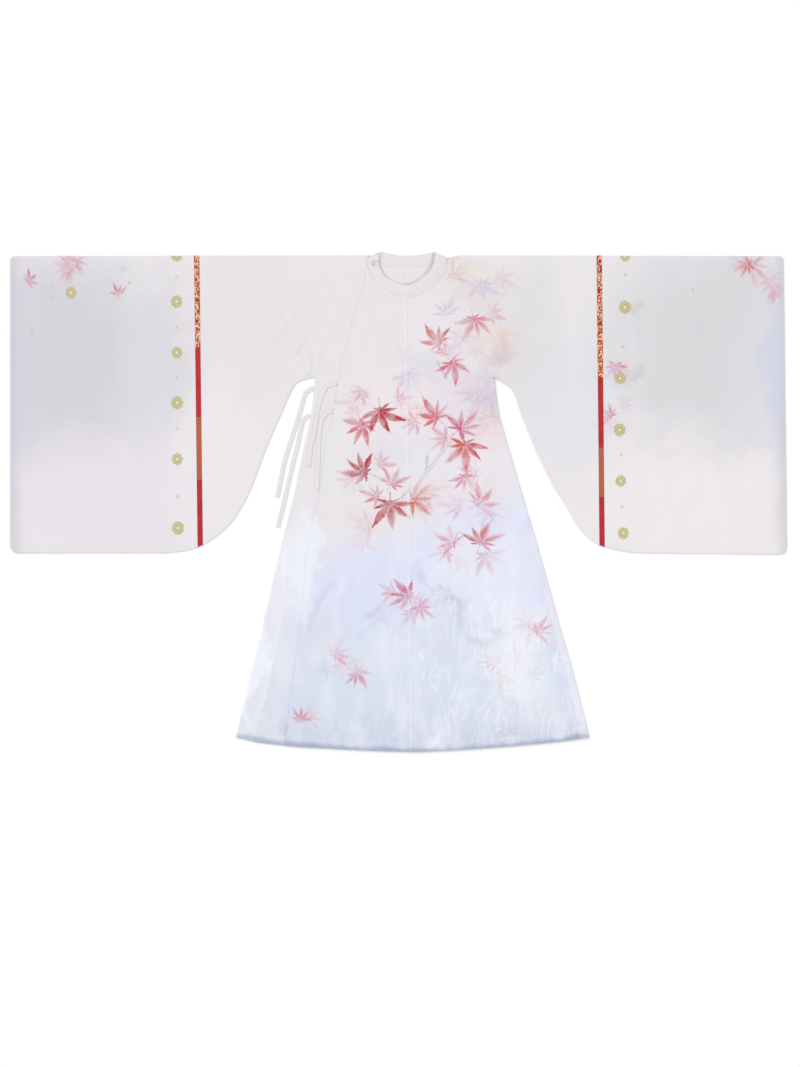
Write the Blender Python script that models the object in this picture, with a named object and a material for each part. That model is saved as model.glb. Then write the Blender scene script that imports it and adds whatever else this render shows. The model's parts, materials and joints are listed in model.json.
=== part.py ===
"""Round-collar robe with wide square sleeves, laid flat with its front up.

Metres, +Z up. The robe rests on the plane Z 0 with its hem towards -Y, and the wearer's left is +X.
The cloth lies in three layers: the back, the inner front on it, and the outer front that covers both.
"""

import functools
import math

import bmesh
import bpy
from mathutils import Vector
from mathutils.geometry import delaunay_2d_cdt

# Cloth walls, the gap between pieces, and how far a fold or a closed seam rounds out
WALL = 0.0012
GAP = 0.0005
LAYER = WALL + GAP
HALF_GAP = GAP / 2
RIM = 0.0016
RIM_TURNS = (50, 0, -50)
GRID = 0.044
EDGE_STEP = 0.036
CURVE_STEP = 0.018
FINE_STEP = 0.0045

# Cuff to cuff, the shoulder fold and the sleeves, for the wearer's right (-1) and left (1)
HALF_SPAN = 1.0475
CUFF_SLANT = {-1: 0.0, 1: 0.0094}
SHOULDER = 0.6651
SHOULDER_FALL = 0.003
SHOULDER_POINT = {-1: Vector((-0.0785, 0.6651)), 1: Vector((0.1335, 0.6575))}
SHOULDER_RISE = 0.34
SLEEVE_BOTTOM = {-1: -0.1395, 1: -0.1435}
CUFF_TOP_RADIUS = 0.012
CUFF_LOW_RADIUS = 0.020

# The woven band set in each sleeve
BAND_WIDTH = 0.0145
BAND_TOP = {-1: -0.5446, 1: 0.5419}
BAND_SLANT = {-1: 0.0122, 1: 0.0098}
BAND_END = -0.120

# Centre seam: its place at the neck and its slant down the robe
CENTRE_TOP = Vector((0.0170, 0.552))
CENTRE_SLANT = 0.0143

# height, right sleeve's underside, left sleeve's underside
UNDERSIDE = (
    (0.3350, -0.2255, 0.2579),
    (0.3223, -0.2714, 0.2795),
    (0.3007, -0.2876, 0.3065),
    (0.2358, -0.3173, 0.3308),
    (0.1278, -0.3632, 0.3740),
    (0.0414, -0.3956, 0.4172),
    (-0.0234, -0.4280, 0.4577),
    (-0.0666, -0.4604, 0.4820),
    (-0.1098, -0.5144, 0.5252),
    (-0.1314, -0.5657, 0.5873),
    (-0.1395, -0.6305, 0.6450),
)

# height, right side of the body, left side of the body
SIDES = (
    (0.3350, -0.2255, 0.2579),
    (0.2358, -0.2363, 0.2714),
    (0.1494, -0.2552, 0.2957),
    (0.0198, -0.2822, 0.3335),
    (-0.1530, -0.3254, 0.3848),
    (-0.3204, -0.3632, 0.4307),
    (-0.4824, -0.4037, 0.4766),
    (-0.6363, -0.4388, 0.5144),
)

# place across the robe, height of the hem
HEM = (
    (-0.4388, -0.6363),
    (-0.4064, -0.6458),
    (-0.3146, -0.6579),
    (-0.1391, -0.6687),
    (0.0311, -0.6749),
    (0.1553, -0.6700),
    (0.3065, -0.6592),
    (0.4361, -0.6471),
    (0.5144, -0.6363),
)

# Side wings: height of the top edge, then height and width down the seam
WING_TOP = {-1: -0.118, 1: -0.239}
WING_WIDTHS = {
    -1: ((-0.118, 0.016), (-0.160, 0.026), (-0.270, 0.046), (-0.500, 0.060), (-0.580, 0.052), (-0.70, 0.048)),
    1: ((-0.239, 0.018), (-0.70, 0.024)),
}

# Collar band on the front, from its end on the right shoulder to the left one:
# free edge across and up, then seam edge across and up
COLLAR_FRONT = (
    (-0.0513, 0.6692, -0.0837, 0.6584),
    (-0.0518, 0.6408, -0.0824, 0.6300),
    (-0.0462, 0.6219, -0.0729, 0.6057),
    (-0.0365, 0.6074, -0.0581, 0.5841),
    (-0.0192, 0.5958, -0.0338, 0.5679),
    (0.0022, 0.5868, -0.0041, 0.5558),
    (0.0162, 0.5828, 0.0176, 0.5517),
    (0.0324, 0.5852, 0.0392, 0.5528),
    (0.0500, 0.5939, 0.0635, 0.5598),
    (0.0697, 0.6093, 0.0905, 0.5774),
    (0.0888, 0.6284, 0.1134, 0.5976),
    (0.0967, 0.6535, 0.1318, 0.6260),
    (0.0975, 0.6706, 0.1323, 0.6549),
)

# How near a panel's neck edge comes to the centre seam and to the shoulder fold
CENTRE_CLEAR = 0.002
SHOULDER_CLEAR = 0.004

# Collar band round the back of the neck, from the left shoulder to the right one, in the same columns
COLLAR_BACK = (
    (0.0967, 0.6719, 0.1318, 0.6549),
    (0.0716, 0.6673, 0.1067, 0.6395),
    (0.0365, 0.6635, 0.0581, 0.6327),
    (0.0041, 0.6635, -0.0014, 0.6314),
    (-0.0230, 0.6683, -0.0473, 0.6381),
    (-0.0446, 0.6732, -0.0770, 0.6602),
)
COLLAR_INNER_ROWS = slice(1, 11)

# height, free edge of the overlap, which ties at the right side
OVERLAP_EDGE = (
    (0.6320, -0.0862),
    (0.5790, -0.0932),
    (0.4840, -0.1239),
    (0.3660, -0.1553),
    (0.2440, -0.1742),
    (0.1520, -0.1958),
    (0.0280, -0.2120),
    (-0.1180, -0.2457),
    (-0.2690, -0.2587),
    (-0.4420, -0.2795),
    (-0.5775, -0.2970),
    (-0.6585, -0.3065),
)

# height, free edge of the underlap, hidden below the left front
UNDERLAP_EDGE = (
    (0.5900, 0.1180),
    (0.4500, 0.1450),
    (0.3300, 0.1650),
    (0.1500, 0.2000),
    (-0.1000, 0.2400),
    (-0.4000, 0.2800),
    (-0.6540, 0.3000),
)
UNDERLAP_SHORT = 0.005

# Heights where the centre seam and the wings' seams reach the hem, near enough to read the hem there
CENTRE_LOW = -0.67
WING_LOW = -0.64

# Where the outer front comes down to the inner layer along the left sleeve
COVER_START = 0.24
COVER_START_HEIGHT = 0.33
COVER_SLOPE = 0.3
COVER_LENGTH = 0.16

# Soft rises of the cloth: across, up, turn in degrees, half length, half width, height
RISES = (
    (-0.860, 0.420, 96, 0.200, 0.070, 0.0011),
    (-0.730, 0.080, 84, 0.170, 0.060, 0.0009),
    (-0.380, 0.450, 68, 0.210, 0.065, 0.0011),
    (-0.300, -0.300, 78, 0.240, 0.055, 0.0008),
    (-0.080, 0.250, 86, 0.230, 0.060, 0.0009),
    (0.060, -0.330, 92, 0.260, 0.065, 0.0010),
    (0.210, 0.500, 128, 0.170, 0.060, 0.0010),
    (0.300, -0.250, 103, 0.240, 0.060, 0.0009),
    (0.430, 0.300, 110, 0.200, 0.065, 0.0010),
    (0.740, 0.460, 88, 0.180, 0.070, 0.0011),
    (0.890, 0.060, 98, 0.190, 0.065, 0.0010),
)

# Ties: flat tapes whose middle line is given across and up
TIE_WIDTH = 0.0115
TIE_WALL = 0.0010
SIDE_TIES = {
    "tie_side_upper": (
        (-0.2302, 0.3044), (-0.2370, 0.3030), (-0.2500, 0.2930), (-0.2673, 0.2358),
        (-0.2808, 0.1926), (-0.3078, 0.1062), (-0.3270, 0.0100),
    ),
    "tie_side_lower": (
        (-0.2396, 0.2312), (-0.2456, 0.2300), (-0.2570, 0.2190), (-0.2727, 0.1494),
        (-0.2835, 0.1062), (-0.3038, 0.0198), (-0.3254, -0.0700),
    ),
}
OVERLAP_TIES = {
    "tie_overlap_upper": (
        (-0.1680, 0.3168), (-0.1940, 0.3110), (-0.2050, 0.2925), (-0.2147, 0.2628),
        (-0.2282, 0.1818), (-0.2363, 0.1494), (-0.2440, 0.0940),
    ),
    "tie_overlap_lower": (
        (-0.1775, 0.2439), (-0.1950, 0.2385), (-0.2050, 0.2230), (-0.2120, 0.2007),
        (-0.2147, 0.1629), (-0.2201, 0.0306),
    ),
}
TIE_STEP = 0.012

# Frog button on the collar's end: a knotted ball and the corded loop that holds it
FROG = Vector((-0.0700, 0.6440))
KNOT_RADIUS = 0.0042
KNOT_FLATTENING = 0.7
CORD_RADIUS = 0.0013
LOOP_LENGTH = 0.016
LOOP_TURN = 10

CLOTH = (0.80, 0.77, 0.80)
SKIRT_CLOTH = (0.72, 0.76, 0.86)
BAND_CLOTH = (0.56, 0.05, 0.05)


def ramp(value):
    """0 to 1 with level ends."""
    value = min(max(value, 0.0), 1.0)
    return value * value * (3 - 2 * value)


def between(rows, at):
    """The second column of rows at a value of the first, in straight lines."""
    ordered = sorted(rows)
    for (a, low), (b, high) in zip(ordered, ordered[1:]):
        if at <= b:
            return low + (high - low) * (max(at, a) - a) / (b - a)
    return ordered[-1][1]


def smooth(points, step):
    """A soft curve through points, with a point about every step."""
    points = [Vector(point) for point in points]
    out = [points[0]]
    for i in range(len(points) - 1):
        start, end = points[i], points[i + 1]
        span = (end - start).length
        before = points[i - 1] if i else start
        after = points[i + 2] if i + 2 < len(points) else end
        leave = (end - before) * (span / max((start - before).length + span, 1e-9))
        arrive = (after - start) * (span / max((after - end).length + span, 1e-9))
        count = max(1, round(span / step))
        for k in range(1, count + 1):
            t = k / count
            out.append(
                start * (2 * t**3 - 3 * t**2 + 1)
                + leave * (t**3 - 2 * t**2 + t)
                + end * (3 * t**2 - 2 * t**3)
                + arrive * (t**3 - t**2)
            )
    return out


def clipped(line, axis, low, high):
    """The stretch of a line whose coordinate on one axis lies from low to high."""
    out = []
    for a, b in zip(line, line[1:]):
        if low <= a[axis] <= high:
            out.append(a)
        crossings = [v for v in (low, high) if (a[axis] - v) * (b[axis] - v) < 0]
        for value in sorted(crossings, key=lambda v: abs(a[axis] - v)):
            out.append(a.lerp(b, (value - a[axis]) / (b[axis] - a[axis])))
    if low <= line[-1][axis] <= high:
        out.append(line[-1])
    return out


def resampled(line, step):
    """A line's points moved to equal distances of about one step."""
    lengths = [0.0]
    for a, b in zip(line, line[1:]):
        lengths.append(lengths[-1] + (b - a).length)
    count = max(1, round(lengths[-1] / step))
    out = []
    for k in range(count + 1):
        at = lengths[-1] * k / count
        i = next((j for j in range(1, len(line)) if lengths[j] >= at - 1e-9), len(line) - 1)
        out.append(line[i - 1].lerp(line[i], (at - lengths[i - 1]) / (lengths[i] - lengths[i - 1])))
    return out


def beside(line, distance):
    """A line moved to its right by a distance, or to its left if that is negative."""
    out = []
    for i, point in enumerate(line):
        along = line[min(i + 1, len(line) - 1)] - line[max(i - 1, 0)]
        out.append(point + Vector((along.y, -along.x)).normalized() * distance)
    return out


def profile(table, side):
    """The smooth line that a table gives for one side, from its heights and that side's column."""
    column = 2 if side > 0 and len(table[0]) > 2 else 1
    return smooth([(row[column], row[0]) for row in table], FINE_STEP)


def centre(height):
    """Place of the centre seam at a height."""
    return CENTRE_TOP.x + (CENTRE_TOP.y - height) * CENTRE_SLANT


def band(side, height):
    """Middle of the sleeve band at a height."""
    return BAND_TOP[side] + (SHOULDER - height) * BAND_SLANT[side]


def shoulder(side, across):
    """Height of the shoulder fold, which dips beside the left end of the collar."""
    line = SHOULDER - SHOULDER_FALL * abs(across) / HALF_SPAN
    point = SHOULDER_POINT[side]
    return min(line, point.y + SHOULDER_RISE * abs(across - point.x)) if side > 0 else line


@functools.cache
def hem(across):
    """Height of the hem at a place across the robe."""
    return between([tuple(point) for point in smooth(HEM, FINE_STEP)], across)


@functools.cache
def side_at(side, height):
    """Place of the body's side at a height."""
    return between([(point.y, point.x) for point in profile(SIDES, side)], height)


def wing_seam(side, height):
    """The seam between the body and its side wing."""
    return side_at(side, height) - side * between(WING_WIDTHS[side], height)


def rises(across, up):
    """Height that the cloth's soft folds add above the layer below."""
    total = 0.0
    for x, y, turn, length, width, height in RISES:
        c, s = math.cos(math.radians(turn)), math.sin(math.radians(turn))
        along = ((across - x) * c + (up - y) * s) / length
        over = ((up - y) * c - (across - x) * s) / width
        total += height * math.exp(-along * along - over * over)
    return total


def inner_front(across, up):
    """Underside of the inner front and of the sleeves."""
    return LAYER + rises(across, up)


def outer_front(across, up):
    """Underside of the outer front, which comes down to the inner level along the left sleeve."""
    start = COVER_START + max(0.0, COVER_START_HEIGHT - up) * COVER_SLOPE
    cover = 1 - ramp((across - start) / COVER_LENGTH)
    return LAYER * (1 + cover) + rises(across, up)


def floor_level(across, up):
    return 0.0


def lattice(outline):
    """Points inside an outline, in offset rows one grid step apart and clear of its edge."""
    xs = [point.x for point in outline]
    ys = [point.y for point in outline]
    pairs = list(zip(outline, outline[1:] + outline[:1]))
    out = []
    row_height = GRID * math.sqrt(3) / 2
    for row in range(int((max(ys) - min(ys)) / row_height) + 1):
        y = min(ys) + (row + 0.5) * row_height
        for place in range(int((max(xs) - min(xs)) / GRID) + 1):
            point = Vector((min(xs) + (place + 0.25 + row % 2 / 2) * GRID, y))
            if is_inside(point, pairs) and edge_distance(point, pairs) > GRID * 0.45:
                out.append(point)
    return out


def is_inside(point, pairs):
    crossings = 0
    for a, b in pairs:
        if (a.y > point.y) != (b.y > point.y):
            crossings += a.x + (point.y - a.y) * (b.x - a.x) / (b.y - a.y) > point.x
    return crossings % 2 == 1


def edge_distance(point, pairs):
    best = math.inf
    for a, b in pairs:
        t = (point - a).dot(b - a) / max((b - a).length_squared, 1e-12)
        best = min(best, (point - a.lerp(b, min(max(t, 0.0), 1.0))).length)
    return best


def filled(bm, outline, level, waved):
    """A wall over an outline: its lower and upper vertices round the outline, with both faces made."""
    points = outline + (lattice(outline) if waved else [])
    found = delaunay_2d_cdt(points, [], [list(range(len(outline)))], 1, 1e-7)
    order = [sources[0] for sources in found[3]]
    lower = [bm.verts.new((p.x, p.y, level(p.x, p.y))) for p in points]
    upper = [bm.verts.new((p.x, p.y, level(p.x, p.y) + WALL)) for p in points]
    for triangle in found[2]:
        a, b, c = (order[i] for i in triangle)
        bm.faces.new((upper[a], upper[b], upper[c]))
        bm.faces.new((lower[c], lower[b], lower[a]))
    return lower[: len(outline)], upper[: len(outline)]


def fold(silhouette, start, end=None):
    """Pairs of a wall's edge point and its reach out to the silhouette.

    start and end are the directions outwards at the two ends, along the seams that meet the fold there.
    """
    out = []
    turn = 1
    for i, point in enumerate(silhouette):
        along = (silhouette[min(i + 1, len(silhouette) - 1)] - silhouette[max(i - 1, 0)]).normalized()
        normal = Vector((along.y, -along.x))
        if i == 0:
            turn = 1 if normal.dot(start) > 0 else -1
        normal *= turn
        outwards = start if i == 0 else normal
        if i == len(silhouette) - 1 and end is not None:
            outwards = end
        reach = outwards.normalized() * RIM / max(outwards.normalized().dot(normal), 0.6)
        out.append((point - reach, reach))
    return out


def outline_of(runs):
    """Points round a list of runs, where each run is a fold or a list of open edge points."""
    points = []
    for run in runs:
        points += [item[0] if isinstance(item, tuple) else item for item in run]
    return points


def is_fold(run):
    return bool(run) and isinstance(run[0], tuple)


def folded_piece(name, colour, front, back, level):
    """A front and a back wall joined at the folds that both their lists of runs share."""
    bm = bmesh.new()
    walls = []
    for runs, height, waved in ((front, level, True), (back, floor_level, False)):
        lower, upper = filled(bm, outline_of(runs), height, waved)
        walls.append((lower, upper))
        starts = []
        at = 0
        for run in runs:
            starts.append(at)
            at += len(run)
        in_fold = set()
        for run, first in zip(runs, starts):
            if is_fold(run):
                in_fold.update(range(first, first + len(run) - 1))
        for i in range(len(lower)):
            j = (i + 1) % len(lower)
            if i not in in_fold:
                bm.faces.new((lower[i], lower[j], upper[j], upper[i]))
        walls[-1] += (starts,)
    (front_low, front_high, front_starts), (back_low, back_high, back_starts) = walls
    for index, run in enumerate(front):
        if is_fold(run):
            f, b = front_starts[index], back_starts[index]
            round_fold(
                bm,
                run,
                front_high[f : f + len(run)],
                front_low[f : f + len(run)],
                back_high[b : b + len(run)],
                back_low[b : b + len(run)],
            )
    return finished(name, colour, bm)


def round_fold(bm, run, outer_top, inner_top, inner_low, outer_low):
    """The rounded outside of a fold, its inside, and the two ends."""
    rings = []
    for (point, reach), top, low in zip(run, outer_top, outer_low):
        middle, half = (top.co.z + low.co.z) / 2, (top.co.z - low.co.z) / 2
        ring = [top]
        for turn in RIM_TURNS:
            angle = math.radians(turn)
            place = point + reach * math.cos(angle)
            ring.append(bm.verts.new((place.x, place.y, middle + half * math.sin(angle))))
        rings.append(ring + [low])
    for i in range(len(run) - 1):
        for k in range(len(rings[i]) - 1):
            bm.faces.new((rings[i][k], rings[i + 1][k], rings[i + 1][k + 1], rings[i][k + 1]))
        bm.faces.new((inner_top[i], inner_top[i + 1], inner_low[i + 1], inner_low[i]))
    for i in (0, -1):
        nose = rings[i][2]
        loop = [rings[i][3], outer_low[i], inner_low[i], inner_top[i], outer_top[i], rings[i][1]]
        for a, b in zip(loop, loop[1:]):
            bm.faces.new((nose, a, b))


def flat_piece(name, colour, outline, level):
    """One wall with an open edge all round."""
    bm = bmesh.new()
    lower, upper = filled(bm, outline, level, True)
    for i in range(len(lower)):
        j = (i + 1) % len(lower)
        bm.faces.new((lower[i], lower[j], upper[j], upper[i]))
    return finished(name, colour, bm)


def swept_piece(name, colour, sections):
    """A strip through sections of four corners each, closed at both ends."""
    bm = bmesh.new()
    rings = [[bm.verts.new(corner) for corner in section] for section in sections]
    for a, b in zip(rings, rings[1:]):
        for k in range(4):
            bm.faces.new((a[k], b[k], b[(k + 1) % 4], a[(k + 1) % 4]))
    bm.faces.new(rings[0])
    bm.faces.new(rings[-1][::-1])
    return finished(name, colour, bm)


def finished(name, colour, bm):
    """The named object of a mesh, with its own cloth material."""
    bmesh.ops.recalc_face_normals(bm, faces=bm.faces)
    mesh = bpy.data.meshes.new(name)
    bm.to_mesh(mesh)
    bm.free()
    if mesh.attributes.get("sharp_face"):
        mesh.attributes.remove(mesh.attributes["sharp_face"])
    obj = bpy.data.objects.new(name, mesh)
    bpy.context.scene.collection.objects.link(obj)
    coat(obj, name, colour)
    return obj


def coat(obj, name, colour):
    material = bpy.data.materials.new(name)
    material.use_nodes = True
    shader = material.node_tree.nodes["Principled BSDF"]
    shader.inputs["Base Color"].default_value = (*colour, 1)
    shader.inputs["Roughness"].default_value = 0.8
    shader.inputs["Metallic"].default_value = 0.0
    obj.data.materials.append(material)


def steps(start, end, step):
    """Values from start to end, both left out, about one step apart."""
    count = max(1, round(abs(end - start) / step))
    return [start + (end - start) * k / count for k in range(1, count)]


def neck_edge(side, rows):
    """A wall's edge along the collar's seam, from the centre seam to the shoulder."""
    seam = beside([Vector(point[2:]) for point in smooth(rows, CURVE_STEP)], GAP)
    clear = [point for point in seam if side * (point.x - centre(point.y)) > CENTRE_CLEAR]
    return sorted(clear, key=lambda point: side * point.x)


def body(side, name, level):
    """Front, back and upper sleeve of one side, cut in one and folded at the shoulder."""
    seam_offset = side * (BAND_WIDTH / 2 + HALF_GAP)
    top_x = band(side, SHOULDER) - seam_offset
    low_x = band(side, BAND_END) - seam_offset
    point = SHOULDER_POINT[side]
    up, down, out = Vector((0, 1)), Vector((0, -1)), Vector((side, 0))

    shoulder_xs = [point.x, *steps(point.x, top_x, EDGE_STEP), top_x]
    top_fold = fold([Vector((x, shoulder(side, x))) for x in shoulder_xs], up, up)

    under = clipped(profile(UNDERSIDE, side), 0, *sorted((0, low_x)))
    under = resampled(under[::-1], CURVE_STEP)
    flank = clipped(profile(SIDES, side), 1, WING_TOP[side] + HALF_GAP, SIDES[0][0])
    low_fold = fold(under[:-1] + resampled(flank, EDGE_STEP), down, out)

    band_edge = [
        Vector((band(side, y) - seam_offset, y))
        for y in steps(SHOULDER - RIM, under[0].y + RIM, EDGE_STEP)
    ]
    wing_corner = Vector((wing_seam(side, WING_TOP[side]) - side * HALF_GAP, WING_TOP[side] + HALF_GAP))
    seam_low = wing_seam(side, WING_LOW) - side * HALF_GAP
    wing_edge = [
        Vector((wing_seam(side, y) - side * HALF_GAP, y))
        for y in steps(WING_TOP[side], hem(seam_low), EDGE_STEP)
    ]
    centre_low = centre(CENTRE_LOW) + side * HALF_GAP
    hem_xs = [seam_low, *steps(seam_low, centre_low, EDGE_STEP), centre_low]
    hem_edge = [Vector((x, hem(x))) for x in hem_xs]

    front_neck = [p for p in neck_edge(side, COLLAR_FRONT) if p.y < point.y - SHOULDER_CLEAR]
    back_neck = [p for p in neck_edge(side, COLLAR_BACK[::-1]) if p.y < point.y - SHOULDER_CLEAR]

    def centre_edge(top):
        heights = [*steps(hem(centre_low), top, EDGE_STEP), top]
        return [Vector((centre(y) + side * HALF_GAP, y)) for y in heights]

    shared = [top_fold, band_edge, low_fold, [wing_corner, *wing_edge, *hem_edge]]
    front_centre = centre_edge(CENTRE_TOP.y - GAP)
    back_centre = centre_edge(COLLAR_BACK[3][3] - GAP)
    front = [*shared[:3], shared[3] + front_centre + front_neck]
    back = [*shared[:3], shared[3] + back_centre + back_neck]
    folded_piece(name, CLOTH, front, back, level)


def wing(side, name, level):
    """Side strip folded along the robe's edge, between the front and the back."""
    top = WING_TOP[side] - HALF_GAP
    flank = resampled(clipped(profile(SIDES, side), 1, SIDES[-1][0], top), EDGE_STEP)
    out = Vector((side, 0))
    outer_fold = fold(flank, out, out)
    seam_low = wing_seam(side, WING_LOW) + side * HALF_GAP
    hem_xs = [*steps(flank[-1].x, seam_low, EDGE_STEP), seam_low]
    heights = [*steps(hem(seam_low), top, EDGE_STEP), top]
    runs = [
        outer_fold,
        [Vector((x, hem(x))) for x in hem_xs]
        + [Vector((wing_seam(side, y) + side * HALF_GAP, y)) for y in heights],
    ]
    folded_piece(name, SKIRT_CLOTH, runs, runs, level)


def sleeve_band(side, name):
    """Woven band set between the upper sleeve and the outer sleeve."""
    half = BAND_WIDTH / 2 - HALF_GAP
    up, down = Vector((0, 1)), Vector((0, -1))
    inner_x, outer_x = -side * half, side * half
    low = band(side, BAND_END)
    under = [(abs(point.x), point.y) for point in profile(UNDERSIDE, side)]
    low_ys = [between(under, abs(low + x)) for x in (outer_x, inner_x)]
    top = band(side, SHOULDER)
    top_fold = fold([Vector((top + x, shoulder(side, top))) for x in (inner_x, outer_x)], up, up)
    low_fold = fold([Vector((low + x, y)) for x, y in zip((outer_x, inner_x), low_ys)], down, down)
    heights = steps(SHOULDER - RIM, BAND_END + RIM, EDGE_STEP)
    outer_edge = [Vector((band(side, y) + outer_x, y)) for y in heights]
    inner_edge = [Vector((band(side, y) + inner_x, y)) for y in heights[::-1]]
    runs = [top_fold, outer_edge, low_fold, inner_edge]
    folded_piece(name, BAND_CLOTH, runs, runs, inner_front)


def cuff(side, height):
    """Place of the sleeve's open end at a height."""
    return side * HALF_SPAN - side * CUFF_SLANT[side] * (height - SLEEVE_BOTTOM[side]) / (
        SHOULDER - SLEEVE_BOTTOM[side]
    )


def corner(middle, radius, side, turns):
    """Points of a rounded corner, at turns from straight up towards the open end."""
    return [
        middle + Vector((side * math.sin(math.radians(t)), math.cos(math.radians(t)))) * radius
        for t in turns
    ]


def outer_sleeve(side, name):
    """Outer sleeve from the band to the open cuff, folded along its top and its underside."""
    offset = side * (BAND_WIDTH / 2 + HALF_GAP)
    up, down = Vector((0, 1)), Vector((0, -1))
    top_x, low_x = band(side, SHOULDER) + offset, band(side, BAND_END) + offset
    top_y = shoulder(side, cuff(side, SHOULDER))
    top_middle = Vector((cuff(side, top_y) - side * CUFF_TOP_RADIUS, top_y - CUFF_TOP_RADIUS))
    low_y = SLEEVE_BOTTOM[side]
    low_middle = Vector((cuff(side, low_y) - side * CUFF_LOW_RADIUS, low_y + CUFF_LOW_RADIUS))

    xs = [top_x, *steps(top_x, top_middle.x, EDGE_STEP), top_middle.x]
    top_fold = fold([Vector((x, shoulder(side, x))) for x in xs], up, up)
    open_end = (
        corner(top_middle, CUFF_TOP_RADIUS, side, (35, 62, 90))
        + [Vector((cuff(side, y), y)) for y in steps(top_middle.y, low_middle.y, EDGE_STEP)]
        + corner(low_middle, CUFF_LOW_RADIUS, side, (90, 120, 150))
    )
    under = clipped(profile(UNDERSIDE, side), 0, *sorted((low_x, side * HALF_SPAN)))
    curve = resampled(under[::-1], CURVE_STEP)
    straight_xs = [low_middle.x, *steps(low_middle.x, curve[0].x, EDGE_STEP)]
    fall = low_y - curve[0].y
    straight = [
        Vector((x, curve[0].y + fall * (x - curve[0].x) / (low_middle.x - curve[0].x)))
        for x in straight_xs
    ]
    low_fold = fold(straight + curve, down, down)
    seam = [
        Vector((band(side, y) + offset, y))
        for y in steps(curve[-1].y + RIM, SHOULDER - RIM, EDGE_STEP)
    ]
    runs = [top_fold, open_end, low_fold, seam]
    folded_piece(name, CLOTH, runs, runs, inner_front)


def overlap():
    """The front's extension that crosses the body and ties at the right side."""
    edge = [p for p in resampled(profile(OVERLAP_EDGE, -1), EDGE_STEP) if p.y > hem(p.x)]
    centre_low = centre(CENTRE_LOW) - HALF_GAP
    hem_xs = [edge[-1].x, *steps(edge[-1].x, centre_low, EDGE_STEP), centre_low]
    heights = [*steps(hem(centre_low), CENTRE_TOP.y - GAP, EDGE_STEP), CENTRE_TOP.y - GAP]
    neck = [p for p in neck_edge(-1, COLLAR_FRONT) if p.y < OVERLAP_EDGE[0][0] - CENTRE_CLEAR]
    outline = (
        edge
        + [Vector((x, hem(x))) for x in hem_xs]
        + [Vector((centre(y) - HALF_GAP, y)) for y in heights]
        + neck
    )
    flat_piece("overlap", SKIRT_CLOTH, outline, outer_front)


def underlap():
    """The inner front's plain extension below the left front."""
    edge = resampled(profile(UNDERLAP_EDGE, 1), EDGE_STEP)[::-1]
    centre_low = centre(CENTRE_LOW) + HALF_GAP
    hem_xs = [*steps(centre_low, edge[0].x, EDGE_STEP)]
    heights = [*steps(CENTRE_TOP.y - GAP, hem(centre_low) + UNDERLAP_SHORT, EDGE_STEP)]
    neck = [p for p in neck_edge(1, COLLAR_FRONT) if p.x < UNDERLAP_EDGE[0][1] - 2 * CENTRE_CLEAR]
    outline = (
        [Vector((centre(y) + HALF_GAP, y)) for y in [CENTRE_TOP.y - GAP, *heights]]
        + [Vector((x, hem(x) + UNDERLAP_SHORT)) for x in [centre_low, *hem_xs]]
        + edge
        + neck[::-1]
    )
    flat_piece("underlap", CLOTH, outline, inner_front)


def collar_section(free, seam, normal):
    """Four corners of the collar band where its two edges lie at free and seam."""
    half = Vector(normal) * (WALL / 2)
    return [free + half, seam + half, seam - half, free - half]


def flat_sections(rows, level, facing):
    """Sections of the collar band along rows, at a level's height and facing up (1) or down (-1)."""
    out = []
    for free_x, free_y, seam_x, seam_y in smooth(rows, CURVE_STEP):
        free = Vector((free_x, free_y, level(free_x, free_y) + WALL / 2))
        seam = Vector((seam_x, seam_y, level(seam_x, seam_y) + WALL / 2))
        out.append(collar_section(free, seam, (0, 0, facing)))
    return out


def turned_sections(start, end):
    """Sections round the fold between two facing sections of the collar band that lie one on the other."""
    free_a, seam_a = (start[0] + start[3]) / 2, (start[1] + start[2]) / 2
    free_b, seam_b = (end[0] + end[3]) / 2, (end[1] + end[2]) / 2
    across = (seam_a - free_a).xy
    outwards = Vector((across.y, -across.x)).normalized()
    if outwards.y < 0:
        outwards = -outwards
    rising = 1 if free_a.z > free_b.z else -1
    out = []
    for turn in RIM_TURNS:
        angle = math.radians(turn) * rising
        normal = Vector((*(outwards * math.cos(angle)), math.sin(angle)))
        section = []
        for a, b in ((free_a, free_b), (seam_a, seam_b)):
            middle = (a + b) / 2
            section.append(middle + normal * abs(a.z - b.z) / 2)
        out.append(collar_section(*section, normal))
    return out


def collar():
    """Round collar band: across the front, round the back of the neck, and back below itself."""
    front = flat_sections(COLLAR_FRONT, outer_front, 1)
    back = flat_sections(COLLAR_BACK, floor_level, -1)
    inner_rows = [COLLAR_BACK[-1], *COLLAR_FRONT[COLLAR_INNER_ROWS]]
    inner = flat_sections(inner_rows, inner_front, 1)
    sections = [
        *front,
        *turned_sections(front[-1], back[0]),
        *back,
        *turned_sections(back[-1], inner[0]),
        *inner,
    ]
    swept_piece("collar", CLOTH, sections)


def tie(name, points, level):
    """A flat tape along points, on a level."""
    line = smooth(points, TIE_STEP)
    left, right = beside(line, -TIE_WIDTH / 2), beside(line, TIE_WIDTH / 2)
    sections = []
    for a, b in zip(left, right):
        low = max(level(a.x, a.y), level(b.x, b.y))
        sections.append([
            Vector((*a, low)), Vector((*b, low)), Vector((*b, low + TIE_WALL)), Vector((*a, low + TIE_WALL))
        ])
    swept_piece(name, CLOTH, sections)


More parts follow.
